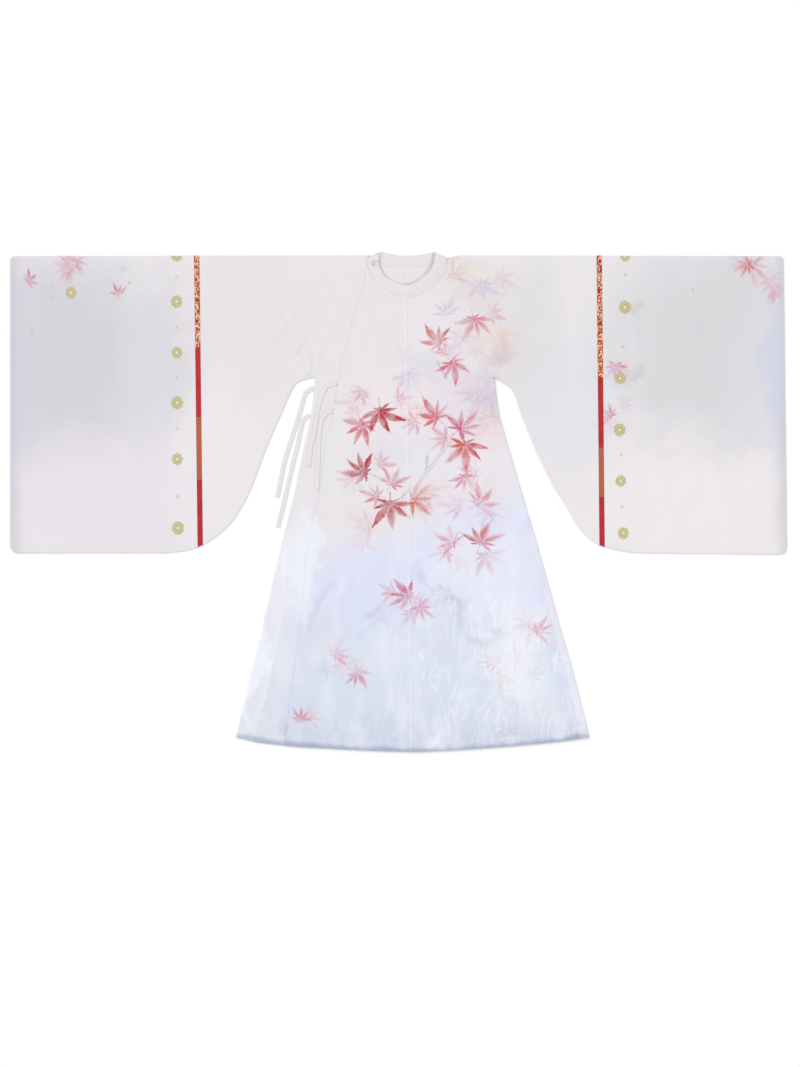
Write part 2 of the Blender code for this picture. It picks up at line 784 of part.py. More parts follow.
def frog():
    """Knotted button and the corded loop round it, on the collar's end."""
    base = outer_front(FROG.x, FROG.y) + WALL + GAP
    knot_height = base + KNOT_RADIUS * KNOT_FLATTENING
    bm = bmesh.new()
    bmesh.ops.create_uvsphere(bm, u_segments=16, v_segments=8, radius=KNOT_RADIUS)
    for vert in bm.verts:
        vert.co = Vector((FROG.x + vert.co.x, FROG.y + vert.co.y, knot_height + vert.co.z * KNOT_FLATTENING))
    finished("frog_knot", CLOTH, bm)

    bend = KNOT_RADIUS + CORD_RADIUS + GAP
    turns = range(-90, 91, 180 // LOOP_TURN)
    line = [Vector((FROG.x + LOOP_LENGTH, FROG.y - bend))]
    line += [FROG + Vector((-math.cos(math.radians(t)), math.sin(math.radians(t)))) * bend for t in turns]
    line += [Vector((FROG.x + LOOP_LENGTH, FROG.y + bend))]
    curve = bpy.data.curves.new("frog_loop", "CURVE")
    curve.dimensions = "3D"
    curve.bevel_depth = CORD_RADIUS
    curve.bevel_resolution = 2
    curve.use_fill_caps = True
    spline = curve.splines.new("POLY")
    spline.points.add(len(line) - 1)
    for point, place in zip(spline.points, line):
        point.co = (*place, base + CORD_RADIUS, 1)
    obj = bpy.data.objects.new("frog_loop", curve)
    bpy.context.scene.collection.objects.link(obj)
    coat(obj, "frog_loop", CLOTH)


for existing in list(bpy.data.objects):
    bpy.data.objects.remove(existing)

body(1, "left_body", outer_front)
body(-1, "right_body", inner_front)
wing(1, "left_wing", outer_front)
wing(-1, "right_wing", inner_front)
for hand, word in ((1, "left"), (-1, "right")):
    sleeve_band(hand, f"{word}_sleeve_band")
    outer_sleeve(hand, f"{word}_outer_sleeve")
overlap()
underlap()
collar()
for tie_name, tie_points in SIDE_TIES.items():
    tie(tie_name, tie_points, floor_level)
for tie_name, tie_points in OVERLAP_TIES.items():
    tie(tie_name, tie_points, lambda across, up: inner_front(across, up) + LAYER)
frog()
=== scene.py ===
"""Round-collar robe with wide square sleeves, laid flat with its front up.

It makes the robe's cloth, print, ribbons, cords and sewing over its solids.
"""
import json
import math
import random

import bpy
import numpy as np
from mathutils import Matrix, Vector
from mathutils.kdtree import KDTree

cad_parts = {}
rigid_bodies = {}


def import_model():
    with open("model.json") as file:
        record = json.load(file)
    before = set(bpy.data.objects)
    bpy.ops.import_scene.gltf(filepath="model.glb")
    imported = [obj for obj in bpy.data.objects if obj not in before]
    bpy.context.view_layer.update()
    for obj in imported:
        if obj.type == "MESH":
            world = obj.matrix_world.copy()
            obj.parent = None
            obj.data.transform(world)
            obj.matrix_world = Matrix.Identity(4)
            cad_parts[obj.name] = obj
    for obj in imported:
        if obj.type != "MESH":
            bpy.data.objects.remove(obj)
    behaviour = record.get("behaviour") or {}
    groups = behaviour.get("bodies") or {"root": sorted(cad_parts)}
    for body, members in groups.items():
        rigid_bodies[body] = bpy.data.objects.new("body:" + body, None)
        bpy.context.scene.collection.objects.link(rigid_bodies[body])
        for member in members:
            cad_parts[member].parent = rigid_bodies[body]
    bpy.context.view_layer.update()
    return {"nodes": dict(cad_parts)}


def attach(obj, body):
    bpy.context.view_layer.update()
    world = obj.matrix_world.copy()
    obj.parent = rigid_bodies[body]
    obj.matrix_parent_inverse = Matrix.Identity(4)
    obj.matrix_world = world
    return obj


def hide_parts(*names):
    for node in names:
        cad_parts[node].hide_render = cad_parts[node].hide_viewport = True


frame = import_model()
bpy.ops.object.select_all(action="DESELECT")


# Floor
# A plain white studio floor that the robe lies on.

FLOOR_SIZE = 14.0
FLOOR_DROP = 0.0003

bpy.ops.mesh.primitive_plane_add(size=FLOOR_SIZE, location=(0, 0, -FLOOR_DROP))
floor = bpy.context.object
floor.name = "floor"
bpy.ops.object.transform_apply(location=True)
floor_finish = bpy.data.materials.new("studio_floor")
floor_finish.use_nodes = True
floor_shader = floor_finish.node_tree.nodes["Principled BSDF"]
floor_shader.inputs["Base Color"].default_value = (0.98, 0.98, 0.98, 1)
floor_shader.inputs["Roughness"].default_value = 0.9
floor_shader.inputs["Specular IOR Level"].default_value = 0.0
floor.data.materials.append(floor_finish)


# Light and camera
# Even white light from all round with a broad soft key from the upper left, and a camera straight above.

SKY_STRENGTH = 0.80
KEY_STRENGTH = 1.15
KEY_SPREAD = math.radians(28)
KEY_TURN = (math.radians(-34), math.radians(-40), 0)
VIEW_MIDDLE = (0.0041, -0.0868)
VIEW_HEIGHT = 2.881
LENS = 85.0
SENSOR = 36.0

world = bpy.data.worlds.new("studio")
world.use_nodes = True
world.node_tree.nodes["Background"].inputs["Color"].default_value = (1, 1, 1, 1)
world.node_tree.nodes["Background"].inputs["Strength"].default_value = SKY_STRENGTH
bpy.context.scene.world = world
bpy.ops.object.light_add(type="SUN", rotation=KEY_TURN, location=(-2, 2, 3))
key = bpy.context.object
key.data.energy = KEY_STRENGTH
key.data.angle = KEY_SPREAD
bpy.ops.object.camera_add(location=(*VIEW_MIDDLE, VIEW_HEIGHT * LENS / SENSOR), rotation=(0, 0, 0))
camera = bpy.context.object
camera.data.lens = LENS
camera.data.sensor_width = SENSOR
bpy.context.scene.camera = camera
bpy.context.scene.view_settings.view_transform = "Standard"


# Body of the robe
# Two halves of thin dyed cloth, each with front, back and upper sleeve in one, folded at the shoulder and
# joined down the middle. The painted print of maple leaves runs over the seams, as on cloth dyed in one.

BACK_TOP = 0.00125
FRONT_LOW = 0.0016
DIVISIONS = 7
SEAM_CLOSING = 0.00021
HEM_REACH = 0.045
HEM_WIDTH = 0.020
HEM_LIFT = 0.0004
HEM_ROUNDING = 0.003
LOWEST_RELIEF = -0.00035
CROWN_REACH = 0.005
SMOOTH_ANGLE = math.radians(35)
LEVEL = 0.9
UPRIGHT = 0.3
TROUGH_DEPTH = 0.45
TROUGH_PLACE = 1.9
SMOOTHING_ROUNDS = 30

# Soft creases: across, up, turn in degrees, half length, half width, bend, height
CREASES = (
    (-0.285, 0.500, 40, 0.110, 0.0120, 0.5, 0.0007),
    (-0.330, 0.440, 52, 0.130, 0.0100, -0.4, 0.0006),
    (-0.210, 0.420, 63, 0.090, 0.0090, 0.3, 0.0005),
    (-0.420, 0.330, 71, 0.160, 0.0140, 0.3, 0.0006),
    (-0.470, 0.520, 96, 0.100, 0.0110, -0.2, 0.0004),
    (-0.640, 0.500, 92, 0.120, 0.0130, 0.2, 0.0006),
    (-0.700, 0.300, 84, 0.190, 0.0160, -0.3, 0.0007),
    (-0.800, 0.560, 100, 0.070, 0.0100, 0.4, 0.0004),
    (-0.860, 0.180, 88, 0.150, 0.0140, 0.2, 0.0006),
    (-0.960, 0.400, 93, 0.170, 0.0120, -0.1, 0.0005),
    (-0.760, -0.020, 97, 0.090, 0.0120, 0.3, 0.0005),
    (-0.930, -0.060, 80, 0.060, 0.0100, -0.3, 0.0004),
    (-0.620, 0.040, 75, 0.100, 0.0110, 0.2, 0.0005),
    (-0.100, 0.450, 80, 0.110, 0.0090, 0.2, 0.0004),
    (-0.060, 0.120, 84, 0.150, 0.0110, -0.2, 0.0004),
    (-0.170, -0.090, 79, 0.160, 0.0120, 0.2, 0.0005),
    (-0.120, -0.380, 83, 0.180, 0.0130, -0.1, 0.0006),
    (-0.230, -0.480, 77, 0.130, 0.0110, 0.2, 0.0005),
    (-0.330, -0.420, 76, 0.150, 0.0100, 0.1, 0.0005),
    (-0.020, -0.520, 88, 0.120, 0.0120, 0.2, 0.0005),
    (0.105, 0.080, 91, 0.160, 0.0110, 0.1, 0.0004),
    (0.090, -0.300, 93, 0.190, 0.0130, -0.2, 0.0006),
    (0.200, -0.150, 99, 0.170, 0.0120, 0.2, 0.0005),
    (0.260, -0.420, 101, 0.190, 0.0140, -0.1, 0.0007),
    (0.370, -0.480, 104, 0.140, 0.0120, 0.1, 0.0006),
    (0.170, -0.560, 96, 0.100, 0.0110, 0.2, 0.0005),
    (0.190, 0.400, 121, 0.080, 0.0090, -0.3, 0.0005),
    (0.290, 0.470, 135, 0.130, 0.0110, 0.4, 0.0007),
    (0.350, 0.400, 127, 0.140, 0.0100, -0.3, 0.0006),
    (0.430, 0.330, 112, 0.160, 0.0140, 0.2, 0.0006),
    (0.470, 0.560, 88, 0.080, 0.0110, 0.3, 0.0004),
    (0.640, 0.440, 92, 0.170, 0.0140, -0.2, 0.0006),
    (0.700, 0.120, 95, 0.150, 0.0130, 0.2, 0.0006),
    (0.790, 0.480, 84, 0.110, 0.0110, 0.3, 0.0005),
    (0.860, 0.260, 90, 0.190, 0.0160, -0.2, 0.0007),
    (0.960, 0.060, 98, 0.120, 0.0120, 0.2, 0.0005),
    (0.740, -0.070, 83, 0.060, 0.0100, -0.3, 0.0004),
    (0.990, 0.480, 91, 0.120, 0.0100, 0.1, 0.0004),
    (0.122, -0.286, -52, 0.075, 0.0085, 0.4, 0.0014),
    (0.232, -0.372, -8, 0.050, 0.0080, 0.5, 0.0010),
    (-0.078, -0.330, 38, 0.045, 0.0080, 0.4, 0.0011),
    (-0.205, -0.300, 64, 0.090, 0.0090, 0.4, 0.0009),
    (-0.150, -0.240, 60, 0.080, 0.0090, -0.4, 0.0008),
    (0.062, -0.215, -60, 0.050, 0.0080, 0.3, 0.0009),
    (0.262, 0.330, 100, 0.045, 0.0060, 0.3, 0.0010),
    (0.246, 0.372, 92, 0.030, 0.0055, 0.2, 0.0009),
    (0.286, 0.418, 118, 0.040, 0.0060, 0.4, 0.0010),
    (-0.222, 0.372, 76, 0.045, 0.0060, 0.3, 0.0009),
    (-0.252, 0.408, 52, 0.050, 0.0065, 0.3, 0.0009),
    (-0.205, 0.240, 86, 0.070, 0.0070, 0.2, 0.0008),
    (0.300, -0.520, 108, 0.070, 0.0080, 0.3, 0.0010),
    (-0.360, -0.540, 78, 0.080, 0.0080, 0.2, 0.0009),
)
WAVES = 14
WAVE_LENGTHS = (0.07, 0.22)
WAVE_HEIGHT = 0.00007
wave_draw = random.Random(7)
waves = [
    (
        wave_draw.uniform(*WAVE_LENGTHS),
        wave_draw.uniform(0, math.pi),
        wave_draw.uniform(0, 2 * math.pi),
    )
    for _ in range(WAVES)
]


def relief(x, y):
    """How far the cloth's creases and faint waves lift it at each place."""
    lift = np.zeros_like(x)
    for across, up, turn, length, width, bend, height in CREASES:
        c, s = math.cos(math.radians(turn)), math.sin(math.radians(turn))
        along = ((x - across) * c + (y - up) * s) / length
        over = ((y - up) * c - (x - across) * s + bend * length * along * along * 0.1) / width
        fold = np.exp(-over * over) - TROUGH_DEPTH * np.exp(-((over - TROUGH_PLACE) ** 2))
        lift += height * np.exp(-along * along) * fold
    for length, turn, start in waves:
        lift += WAVE_HEIGHT * np.sin((x * math.cos(turn) + y * math.sin(turn)) * 2 * math.pi / length + start)
    return np.maximum(lift, LOWEST_RELIEF)


def only(piece):
    """Makes a piece the active one and the only one that is selected."""
    bpy.ops.object.select_all(action="DESELECT")
    piece.select_set(True)
    bpy.context.view_layer.objects.active = piece


def copy_of(node):
    """A node's mesh as a new piece, with its loose triangles joined."""
    source = frame["nodes"][node]
    piece = source.copy()
    piece.data = source.data.copy()
    piece.name = piece.data.name = node + "_cloth"
    piece.parent = None
    for word in list(piece.keys()):
        del piece[word]
    piece.data.materials.clear()
    bpy.context.scene.collection.objects.link(piece)
    only(piece)
    bpy.ops.object.mode_set(mode="EDIT")
    bpy.ops.mesh.select_all(action="SELECT")
    bpy.ops.mesh.remove_doubles(threshold=0.00001)
    bpy.ops.mesh.customdata_custom_splitnormals_clear()
    bpy.ops.object.mode_set(mode="OBJECT")
    return piece


def read(mesh, what, item, width, kind=float):
    """One item of all the points, corners or faces of a mesh, a row for each."""
    values = np.empty(len(getattr(mesh, what)) * width, kind)
    getattr(mesh, what).foreach_get(item, values)
    return values.reshape(-1, width) if width > 1 else values


def choose_faces(piece, wanted):
    """Selects the faces that wanted marks, and nothing else, and goes to edit mode."""
    bpy.ops.object.mode_set(mode="EDIT")
    bpy.ops.mesh.select_mode(type="FACE")
    bpy.ops.mesh.select_all(action="DESELECT")
    bpy.ops.object.mode_set(mode="OBJECT")
    piece.data.polygons.foreach_set("select", wanted)
    piece.data.update()
    bpy.ops.object.mode_set(mode="EDIT")


KINDS = {1: ("FLOAT", "value"), 3: ("FLOAT_VECTOR", "vector"), 4: ("FLOAT_COLOR", "color")}


def write(mesh, name, values, domain="POINT"):
    """Stores a number, place or colour for each point or corner, for the finishes to read."""
    kind, item = KINDS[values.shape[1] if values.ndim > 1 else 1]
    mesh.attributes.new(name, kind, domain).data.foreach_set(item, values.ravel())


def levels_of(mesh):
    """How level each face lies, and how high its middle is."""
    return read(mesh, "polygons", "normal", 3)[:, 2], read(mesh, "polygons", "center", 3)[:, 2]


def distance_to(place, chosen, near, most):
    """How far each point marked as near lies from the chosen ones, seen from above, up to a limit."""
    tree = KDTree(int(chosen.sum()))
    for i, spot in enumerate(place[chosen]):
        tree.insert((spot[0], spot[1], 0), i)
    tree.balance()
    reach = np.full(len(place), most)
    for i in np.flatnonzero(near):
        reach[i] = min(tree.find((place[i, 0], place[i, 1], 0))[2], most)
    return reach


def draped(node, divisions=DIVISIONS, hem=None, over=BACK_TOP, crown=0.0):
    """A node's wall divided finely and creased. hem says which open edge is turned in and stitched."""
    piece = copy_of(node)
    mesh = piece.data
    level, middle = levels_of(mesh)
    choose_faces(piece, (np.abs(level) > LEVEL) & (middle > over))
    bpy.ops.mesh.subdivide(number_cuts=divisions)
    bpy.ops.mesh.select_less()
    bpy.ops.mesh.vertices_smooth(factor=0.5, repeat=SMOOTHING_ROUNDS, xaxis=False, yaxis=False, zaxis=True)
    bpy.ops.object.mode_set(mode="OBJECT")

    place = read(mesh, "vertices", "co", 3)
    level, middle = levels_of(mesh)
    upright = np.abs(level) < UPRIGHT
    corners = read(mesh, "loops", "vertex_index", 1, np.int32)
    face_of = np.repeat(np.arange(len(level)), read(mesh, "polygons", "loop_total", 1, np.int32))
    outward = np.zeros((len(place), 2))
    np.add.at(outward, corners, read(mesh, "polygons", "normal", 3)[face_of, :2] * upright[face_of, None])
    outward /= np.maximum(np.linalg.norm(outward, axis=1), 0.001)[:, None]
    place[:, :2] += outward * SEAM_CLOSING
    sides, flat = np.zeros(len(place), bool), np.zeros(len(place), bool)
    sides[corners[upright[face_of]]] = True
    flat[corners[((np.abs(level) > LEVEL) & (middle < BACK_TOP))[face_of]]] = True

    reach = np.full(len(place), HEM_REACH)
    if hem:
        x, y = place[:, 0], place[:, 1]
        reach = distance_to(place, sides & hem(x, y), hem(x, y, HEM_REACH), HEM_REACH)
    if crown:
        rim = distance_to(place, sides, np.ones(len(place), bool), CROWN_REACH)
        upper = read(mesh, "vertices", "normal", 3)[:, 2] > UPRIGHT
        place[:, 2] += np.where(upper, crown * np.sin(rim / CROWN_REACH * math.pi / 2), 0)
        write(mesh, "rim", rim)
    raised = relief(place[:, 0], place[:, 1])
    raised += HEM_LIFT * np.clip((HEM_WIDTH - reach) / HEM_ROUNDING, 0, 1)
    raised *= np.where(flat, 0, np.clip(place[:, 2] / FRONT_LOW, 0, 1))
    place[:, 2] += raised
    mesh.vertices.foreach_set("co", place.ravel())
    write(mesh, "hem", reach)
    mesh.update()
    bpy.ops.object.shade_smooth_by_angle(angle=SMOOTH_ANGLE)
    return piece


NECK_LEVEL = 0.0033


def face_neck(piece):
    """Marks the low cloth that is seen through the neck, where the neck's painted shadow falls."""
    height = read(piece.data, "vertices", "co", 3)[:, 2]
    write(piece.data, "neck", (height < NECK_LEVEL).astype(float))


# The skirt's bowed lower edge: how low, how far its ends rise, its middle and half its width
HEM_LOW = -0.6749
HEM_BOW = 0.0395
HEM_MIDDLE = 0.0311
HEM_HALF = 0.477


def hem_height(x):
    """The skirt's lower edge at a place across."""
    return HEM_LOW + HEM_BOW * abs((x - HEM_MIDDLE) / HEM_HALF) ** 2


def skirt_hem(x, y, near=0.012):
    """Where the skirt's lower edge is, or within a distance of it."""
    return y < hem_height(x) + near


# Painted maple leaves: across, up, radius, turn in degrees, height for its width, tone, strength, softness
TONES = {
    "crimson": (0.480, 0.048, 0.066),
    "coral": (0.600, 0.118, 0.106),
    "cerise": (0.600, 0.135, 0.215),
    "rose": (0.640, 0.180, 0.232),
    "pink": (0.720, 0.350, 0.430),
    "mauve": (0.590, 0.440, 0.580),
    "peach": (0.800, 0.570, 0.480),
    "ash": (0.470, 0.450, 0.490),
}
LEAVES = (
    (0.145, 0.668, 0.039, -80, 0.92, "pink", 0.50, 0.260),
    (0.196, 0.640, 0.067, -70, 0.72, "peach", 0.42, 0.460),
    (0.184, 0.612, 0.056, -160, 0.88, "peach", 0.40, 0.260),
    (0.148, 0.604, 0.048, 60, 0.90, "rose", 0.42, 0.300),
    (0.268, 0.602, 0.063, -20, 0.85, "pink", 0.36, 0.280),
    (0.222, 0.590, 0.068, -95, 0.92, "mauve", 0.52, 0.140),
    (0.150, 0.560, 0.065, -110, 0.74, "mauve", 0.30, 0.500),
    (0.226, 0.556, 0.055, 170, 0.88, "mauve", 0.34, 0.300),
    (0.256, 0.556, 0.072, -60, 0.66, "mauve", 0.34, 0.460),
    (0.135, 0.508, 0.055, 118, 0.97, "mauve", 0.58, 0.120),
    (0.246, 0.506, 0.053, 15, 0.90, "pink", 0.58, 0.180),
    (0.204, 0.492, 0.069, -72, 0.96, "rose", 0.84, 0.100),
    (0.158, 0.470, 0.053, -130, 0.92, "mauve", 0.49, 0.180),
    (0.272, 0.448, 0.066, -35, 0.96, "peach", 0.56, 0.220),
    (0.166, 0.446, 0.063, -95, 0.79, "mauve", 0.50, 0.300),
    (0.112, 0.430, 0.063, 150, 0.94, "coral", 0.80, 0.090),
    (0.292, 0.430, 0.074, -50, 0.84, "peach", 0.62, 0.420),
    (0.204, 0.414, 0.065, -8, 0.79, "peach", 0.56, 0.180),
    (0.176, 0.404, 0.049, 200, 0.88, "ash", 0.34, 0.260),
    (0.236, 0.404, 0.067, -20, 0.54, "peach", 0.44, 0.340),
    (0.128, 0.398, 0.049, 96, 0.88, "rose", 0.52, 0.180),
    (0.002, 0.386, 0.052, 60, 0.88, "ash", 0.22, 0.340),
    (0.142, 0.374, 0.063, -58, 1.00, "rose", 0.92, 0.090),
    (0.026, 0.344, 0.065, -78, 0.97, "mauve", 0.47, 0.160),
    (0.172, 0.344, 0.052, 65, 0.92, "mauve", 0.46, 0.200),
    (0.236, 0.330, 0.053, 40, 0.88, "mauve", 0.36, 0.280),
    (0.010, 0.330, 0.069, -88, 0.79, "pink", 0.46, 0.360),
    (0.196, 0.316, 0.063, -104, 0.97, "rose", 0.50, 0.200),
    (-0.052, 0.310, 0.063, 196, 0.92, "pink", 0.44, 0.260),
    (-0.094, 0.296, 0.048, 214, 0.90, "rose", 0.58, 0.140),
    (-0.004, 0.296, 0.052, 12, 0.88, "peach", 0.30, 0.320),
    (0.214, 0.296, 0.090, -85, 0.74, "mauve", 0.62, 0.440),
    (0.256, 0.292, 0.063, -60, 0.84, "mauve", 0.50, 0.340),
    (0.236, 0.276, 0.062, -46, 0.92, "ash", 0.34, 0.300),
    (-0.104, 0.276, 0.078, -150, 0.62, "pink", 0.48, 0.460),
    (0.000, 0.272, 0.053, 18, 0.88, "pink", 0.63, 0.160),
    (0.206, 0.262, 0.056, 170, 0.88, "rose", 0.44, 0.240),
    (-0.050, 0.246, 0.076, -84, 1.01, "crimson", 1.00, 0.055),
    (0.030, 0.244, 0.048, 82, 0.92, "pink", 0.44, 0.200),
    (0.052, 0.240, 0.078, -30, 0.60, "pink", 0.50, 0.460),
    (-0.110, 0.236, 0.052, 178, 0.90, "pink", 0.50, 0.200),
    (0.248, 0.230, 0.081, -70, 0.79, "rose", 0.46, 0.440),
    (0.104, 0.226, 0.069, 132, 0.91, "rose", 0.92, 0.090),
    (0.046, 0.216, 0.059, -150, 0.90, "rose", 0.65, 0.140),
    (0.224, 0.214, 0.055, 20, 0.92, "mauve", 0.44, 0.240),
    (-0.096, 0.210, 0.069, -112, 0.96, "rose", 0.87, 0.100),
    (0.166, 0.196, 0.075, 42, 0.91, "cerise", 0.92, 0.080),
    (-0.052, 0.176, 0.059, 150, 0.85, "ash", 0.44, 0.220),
    (0.128, 0.170, 0.056, 176, 0.88, "rose", 0.54, 0.180),
    (0.246, 0.160, 0.052, -36, 0.88, "peach", 0.34, 0.320),
    (0.178, 0.154, 0.080, -84, 1.00, "coral", 1.00, 0.060),
    (-0.030, 0.150, 0.076, -20, 0.60, "mauve", 0.36, 0.460),
    (-0.052, 0.098, 0.053, 38, 0.92, "rose", 0.50, 0.180),
    (0.262, 0.090, 0.067, -30, 0.60, "peach", 0.36, 0.460),
    (-0.090, 0.078, 0.074, 158, 0.90, "crimson", 0.92, 0.060),
    (0.208, 0.078, 0.053, 170, 0.83, "pink", 0.48, 0.200),
    (0.176, 0.068, 0.056, -76, 0.96, "rose", 0.74, 0.140),
    (-0.122, 0.060, 0.056, 222, 0.90, "pink", 0.52, 0.200),
    (0.236, 0.052, 0.059, -10, 0.84, "peach", 0.44, 0.260),
    (-0.020, 0.046, 0.059, 62, 0.91, "rose", 0.81, 0.100),
    (0.060, 0.026, 0.078, -30, 0.72, "coral", 0.44, 0.420),
    (0.186, 0.020, 0.090, -80, 0.66, "rose", 0.44, 0.460),
    (-0.056, 0.014, 0.053, 170, 0.88, "rose", 0.67, 0.140),
    (0.038, 0.006, 0.069, -6, 0.94, "coral", 0.69, 0.180),
    (0.256, 0.004, 0.074, -60, 0.72, "pink", 0.44, 0.460),
    (-0.022, -0.006, 0.082, -88, 0.97, "crimson", 1.00, 0.055),
    (0.214, -0.008, 0.072, 32, 0.91, "rose", 0.69, 0.160),
    (0.164, -0.012, 0.065, 176, 0.88, "pink", 0.58, 0.200),
    (0.066, -0.020, 0.056, -40, 0.90, "peach", 0.44, 0.280),
    (0.240, -0.024, 0.063, -70, 0.92, "mauve", 0.46, 0.240),
    (0.178, -0.040, 0.055, -112, 0.92, "ash", 0.34, 0.300),
    (-0.100, -0.052, 0.090, -110, 0.79, "rose", 0.44, 0.360),
    (-0.080, -0.060, 0.065, 200, 0.92, "rose", 0.40, 0.240),
    (-0.056, -0.070, 0.078, -60, 0.72, "pink", 0.40, 0.460),
    (-0.034, -0.074, 0.062, -60, 0.92, "mauve", 0.38, 0.280),
    (-0.098, -0.104, 0.053, -100, 0.92, "pink", 0.30, 0.300),
    (0.150, -0.110, 0.063, 158, 0.88, "rose", 0.69, 0.140),
    (0.222, -0.112, 0.078, 74, 0.80, "coral", 0.82, 0.090),
    (0.186, -0.130, 0.083, -100, 0.72, "rose", 0.46, 0.400),
    (0.132, -0.136, 0.053, 190, 0.84, "rose", 0.60, 0.180),
    (0.236, -0.144, 0.065, -76, 0.96, "rose", 0.58, 0.200),
    (0.176, -0.158, 0.053, -110, 0.88, "peach", 0.38, 0.300),
    (-0.014, -0.244, 0.052, 186, 0.88, "pink", 0.65, 0.180),
    (0.028, -0.256, 0.069, 164, 0.86, "cerise", 0.84, 0.110),
    (0.046, -0.262, 0.087, -60, 0.72, "pink", 0.56, 0.460),
    (0.058, -0.284, 0.053, -44, 0.94, "cerise", 0.66, 0.130),
    (0.036, -0.300, 0.043, -110, 0.92, "pink", 0.58, 0.180),
    (0.352, -0.330, 0.048, 140, 0.88, "pink", 0.40, 0.260),
    (0.356, -0.338, 0.067, -90, 0.72, "pink", 0.44, 0.440),
    (0.374, -0.352, 0.055, 26, 0.91, "pink", 0.74, 0.200),
    (0.124, -0.396, 0.053, 190, 0.88, "peach", 0.26, 0.340),
    (-0.172, -0.418, 0.058, 44, 0.94, "pink", 0.66, 0.180),
    (0.318, -0.428, 0.063, 22, 0.88, "peach", 0.40, 0.320),
    (0.260, -0.436, 0.053, 128, 0.88, "rose", 0.36, 0.280),
    (-0.150, -0.444, 0.072, -60, 0.72, "pink", 0.48, 0.420),
    (-0.196, -0.446, 0.045, 200, 0.88, "ash", 0.30, 0.280),
    (-0.118, -0.462, 0.055, -34, 0.96, "cerise", 0.52, 0.150),
    (0.284, -0.470, 0.068, -108, 0.91, "peach", 0.36, 0.280),
    (0.352, -0.470, 0.049, 10, 0.88, "mauve", 0.32, 0.320),
    (-0.250, -0.584, 0.056, 40, 0.84, "pink", 0.60, 0.360),
    (-0.266, -0.590, 0.043, 82, 0.86, "cerise", 0.60, 0.160),
    (-0.306, -0.604, 0.045, 190, 0.88, "mauve", 0.46, 0.240),
    (0.292, -0.628, 0.048, 84, 0.88, "rose", 0.34, 0.280),
    (0.906, 0.654, 0.033, 60, 0.92, "mauve", 0.50, 0.220),
    (0.984, 0.650, 0.040, 120, 0.92, "pink", 0.56, 0.220),
    (0.964, 0.650, 0.060, -100, 0.84, "pink", 0.56, 0.400),
    (0.946, 0.640, 0.050, 190, 0.92, "rose", 0.85, 0.140),
    (1.016, 0.566, 0.040, -64, 0.97, "rose", 0.65, 0.180),
    (0.586, 0.366, 0.046, -98, 0.97, "rose", 0.78, 0.140),
    (0.596, 0.352, 0.060, -80, 0.84, "pink", 0.60, 0.400),
    (0.634, 0.344, 0.035, 20, 0.92, "mauve", 0.36, 0.280),
    (0.604, 0.262, 0.038, 30, 0.92, "pink", 0.46, 0.240),
    (0.574, 0.230, 0.044, 138, 0.92, "rose", 0.69, 0.160),
    (0.580, 0.214, 0.056, -120, 0.84, "pink", 0.50, 0.400),
    (-0.884, 0.640, 0.050, 96, 0.97, "pink", 0.72, 0.220),
    (-0.892, 0.632, 0.052, -120, 0.96, "pink", 0.66, 0.400),
    (-0.744, 0.624, 0.021, 60, 1.04, "ash", 0.70, 0.420),
    (-1.002, 0.594, 0.038, 22, 0.98, "rose", 0.83, 0.130),
    (-0.906, 0.586, 0.030, 30, 0.92, "ash", 0.32, 0.340),
    (-0.940, 0.566, 0.044, 200, 0.88, "ash", 0.44, 0.340),
    (-0.752, 0.560, 0.035, 140, 1.00, "rose", 0.69, 0.130),
    (1.006, 0.598, 0.062, -80, 1.00, "pink", 0.80, 0.300),
    (0.952, 0.642, 0.074, -96, 0.90, "rose", 0.66, 0.340),
    (0.918, 0.634, 0.056, -120, 0.80, "pink", 0.56, 0.420),
    (-0.876, 0.650, 0.062, -100, 0.90, "rose", 0.62, 0.360),
)
LEAF_LAYERS = 7
SLEEVE_LAYERS = 4
FAR_AWAY = 9.0
LEAF_REACH = 1.15
LEAF_BENDS = 11


def front_faces(mesh):
    """Numbers, middles, sizes, first corners and corner counts of the faces that the front shows."""
    middle = read(mesh, "polygons", "center", 3)
    facing = read(mesh, "polygons", "normal", 3)[:, 2] > 0.2
    front = np.flatnonzero(facing & (middle[:, 2] > BACK_TOP))
    size = np.sqrt(read(mesh, "polygons", "area", 1)[front])
    starts = read(mesh, "polygons", "loop_start", 1, np.int32)[front]
    return middle[front], size, starts, read(mesh, "polygons", "loop_total", 1, np.int32)[front]


def corners_of(starts, counts):
    """Every corner of the faces with these first corners and corner counts."""
    ends = np.cumsum(counts)
    return np.arange(ends[-1]) + np.repeat(starts - (ends - counts), counts)


def corner_spots(mesh):
    """Where every corner of a mesh lies, seen from above."""
    return read(mesh, "vertices", "co", 3)[read(mesh, "loops", "vertex_index", 1, np.int32)][:, :2]


def seen_from(spots, across, up, half_width, half_height, turn):
    """Spots measured from a motif's own middle, turned and scaled to it."""
    c, s = math.cos(math.radians(turn)), math.sin(math.radians(turn))
    dx, dy = (spots[:, 0] - across) / half_width, (spots[:, 1] - up) / half_height
    return dx * c + dy * s, dy * c - dx * s


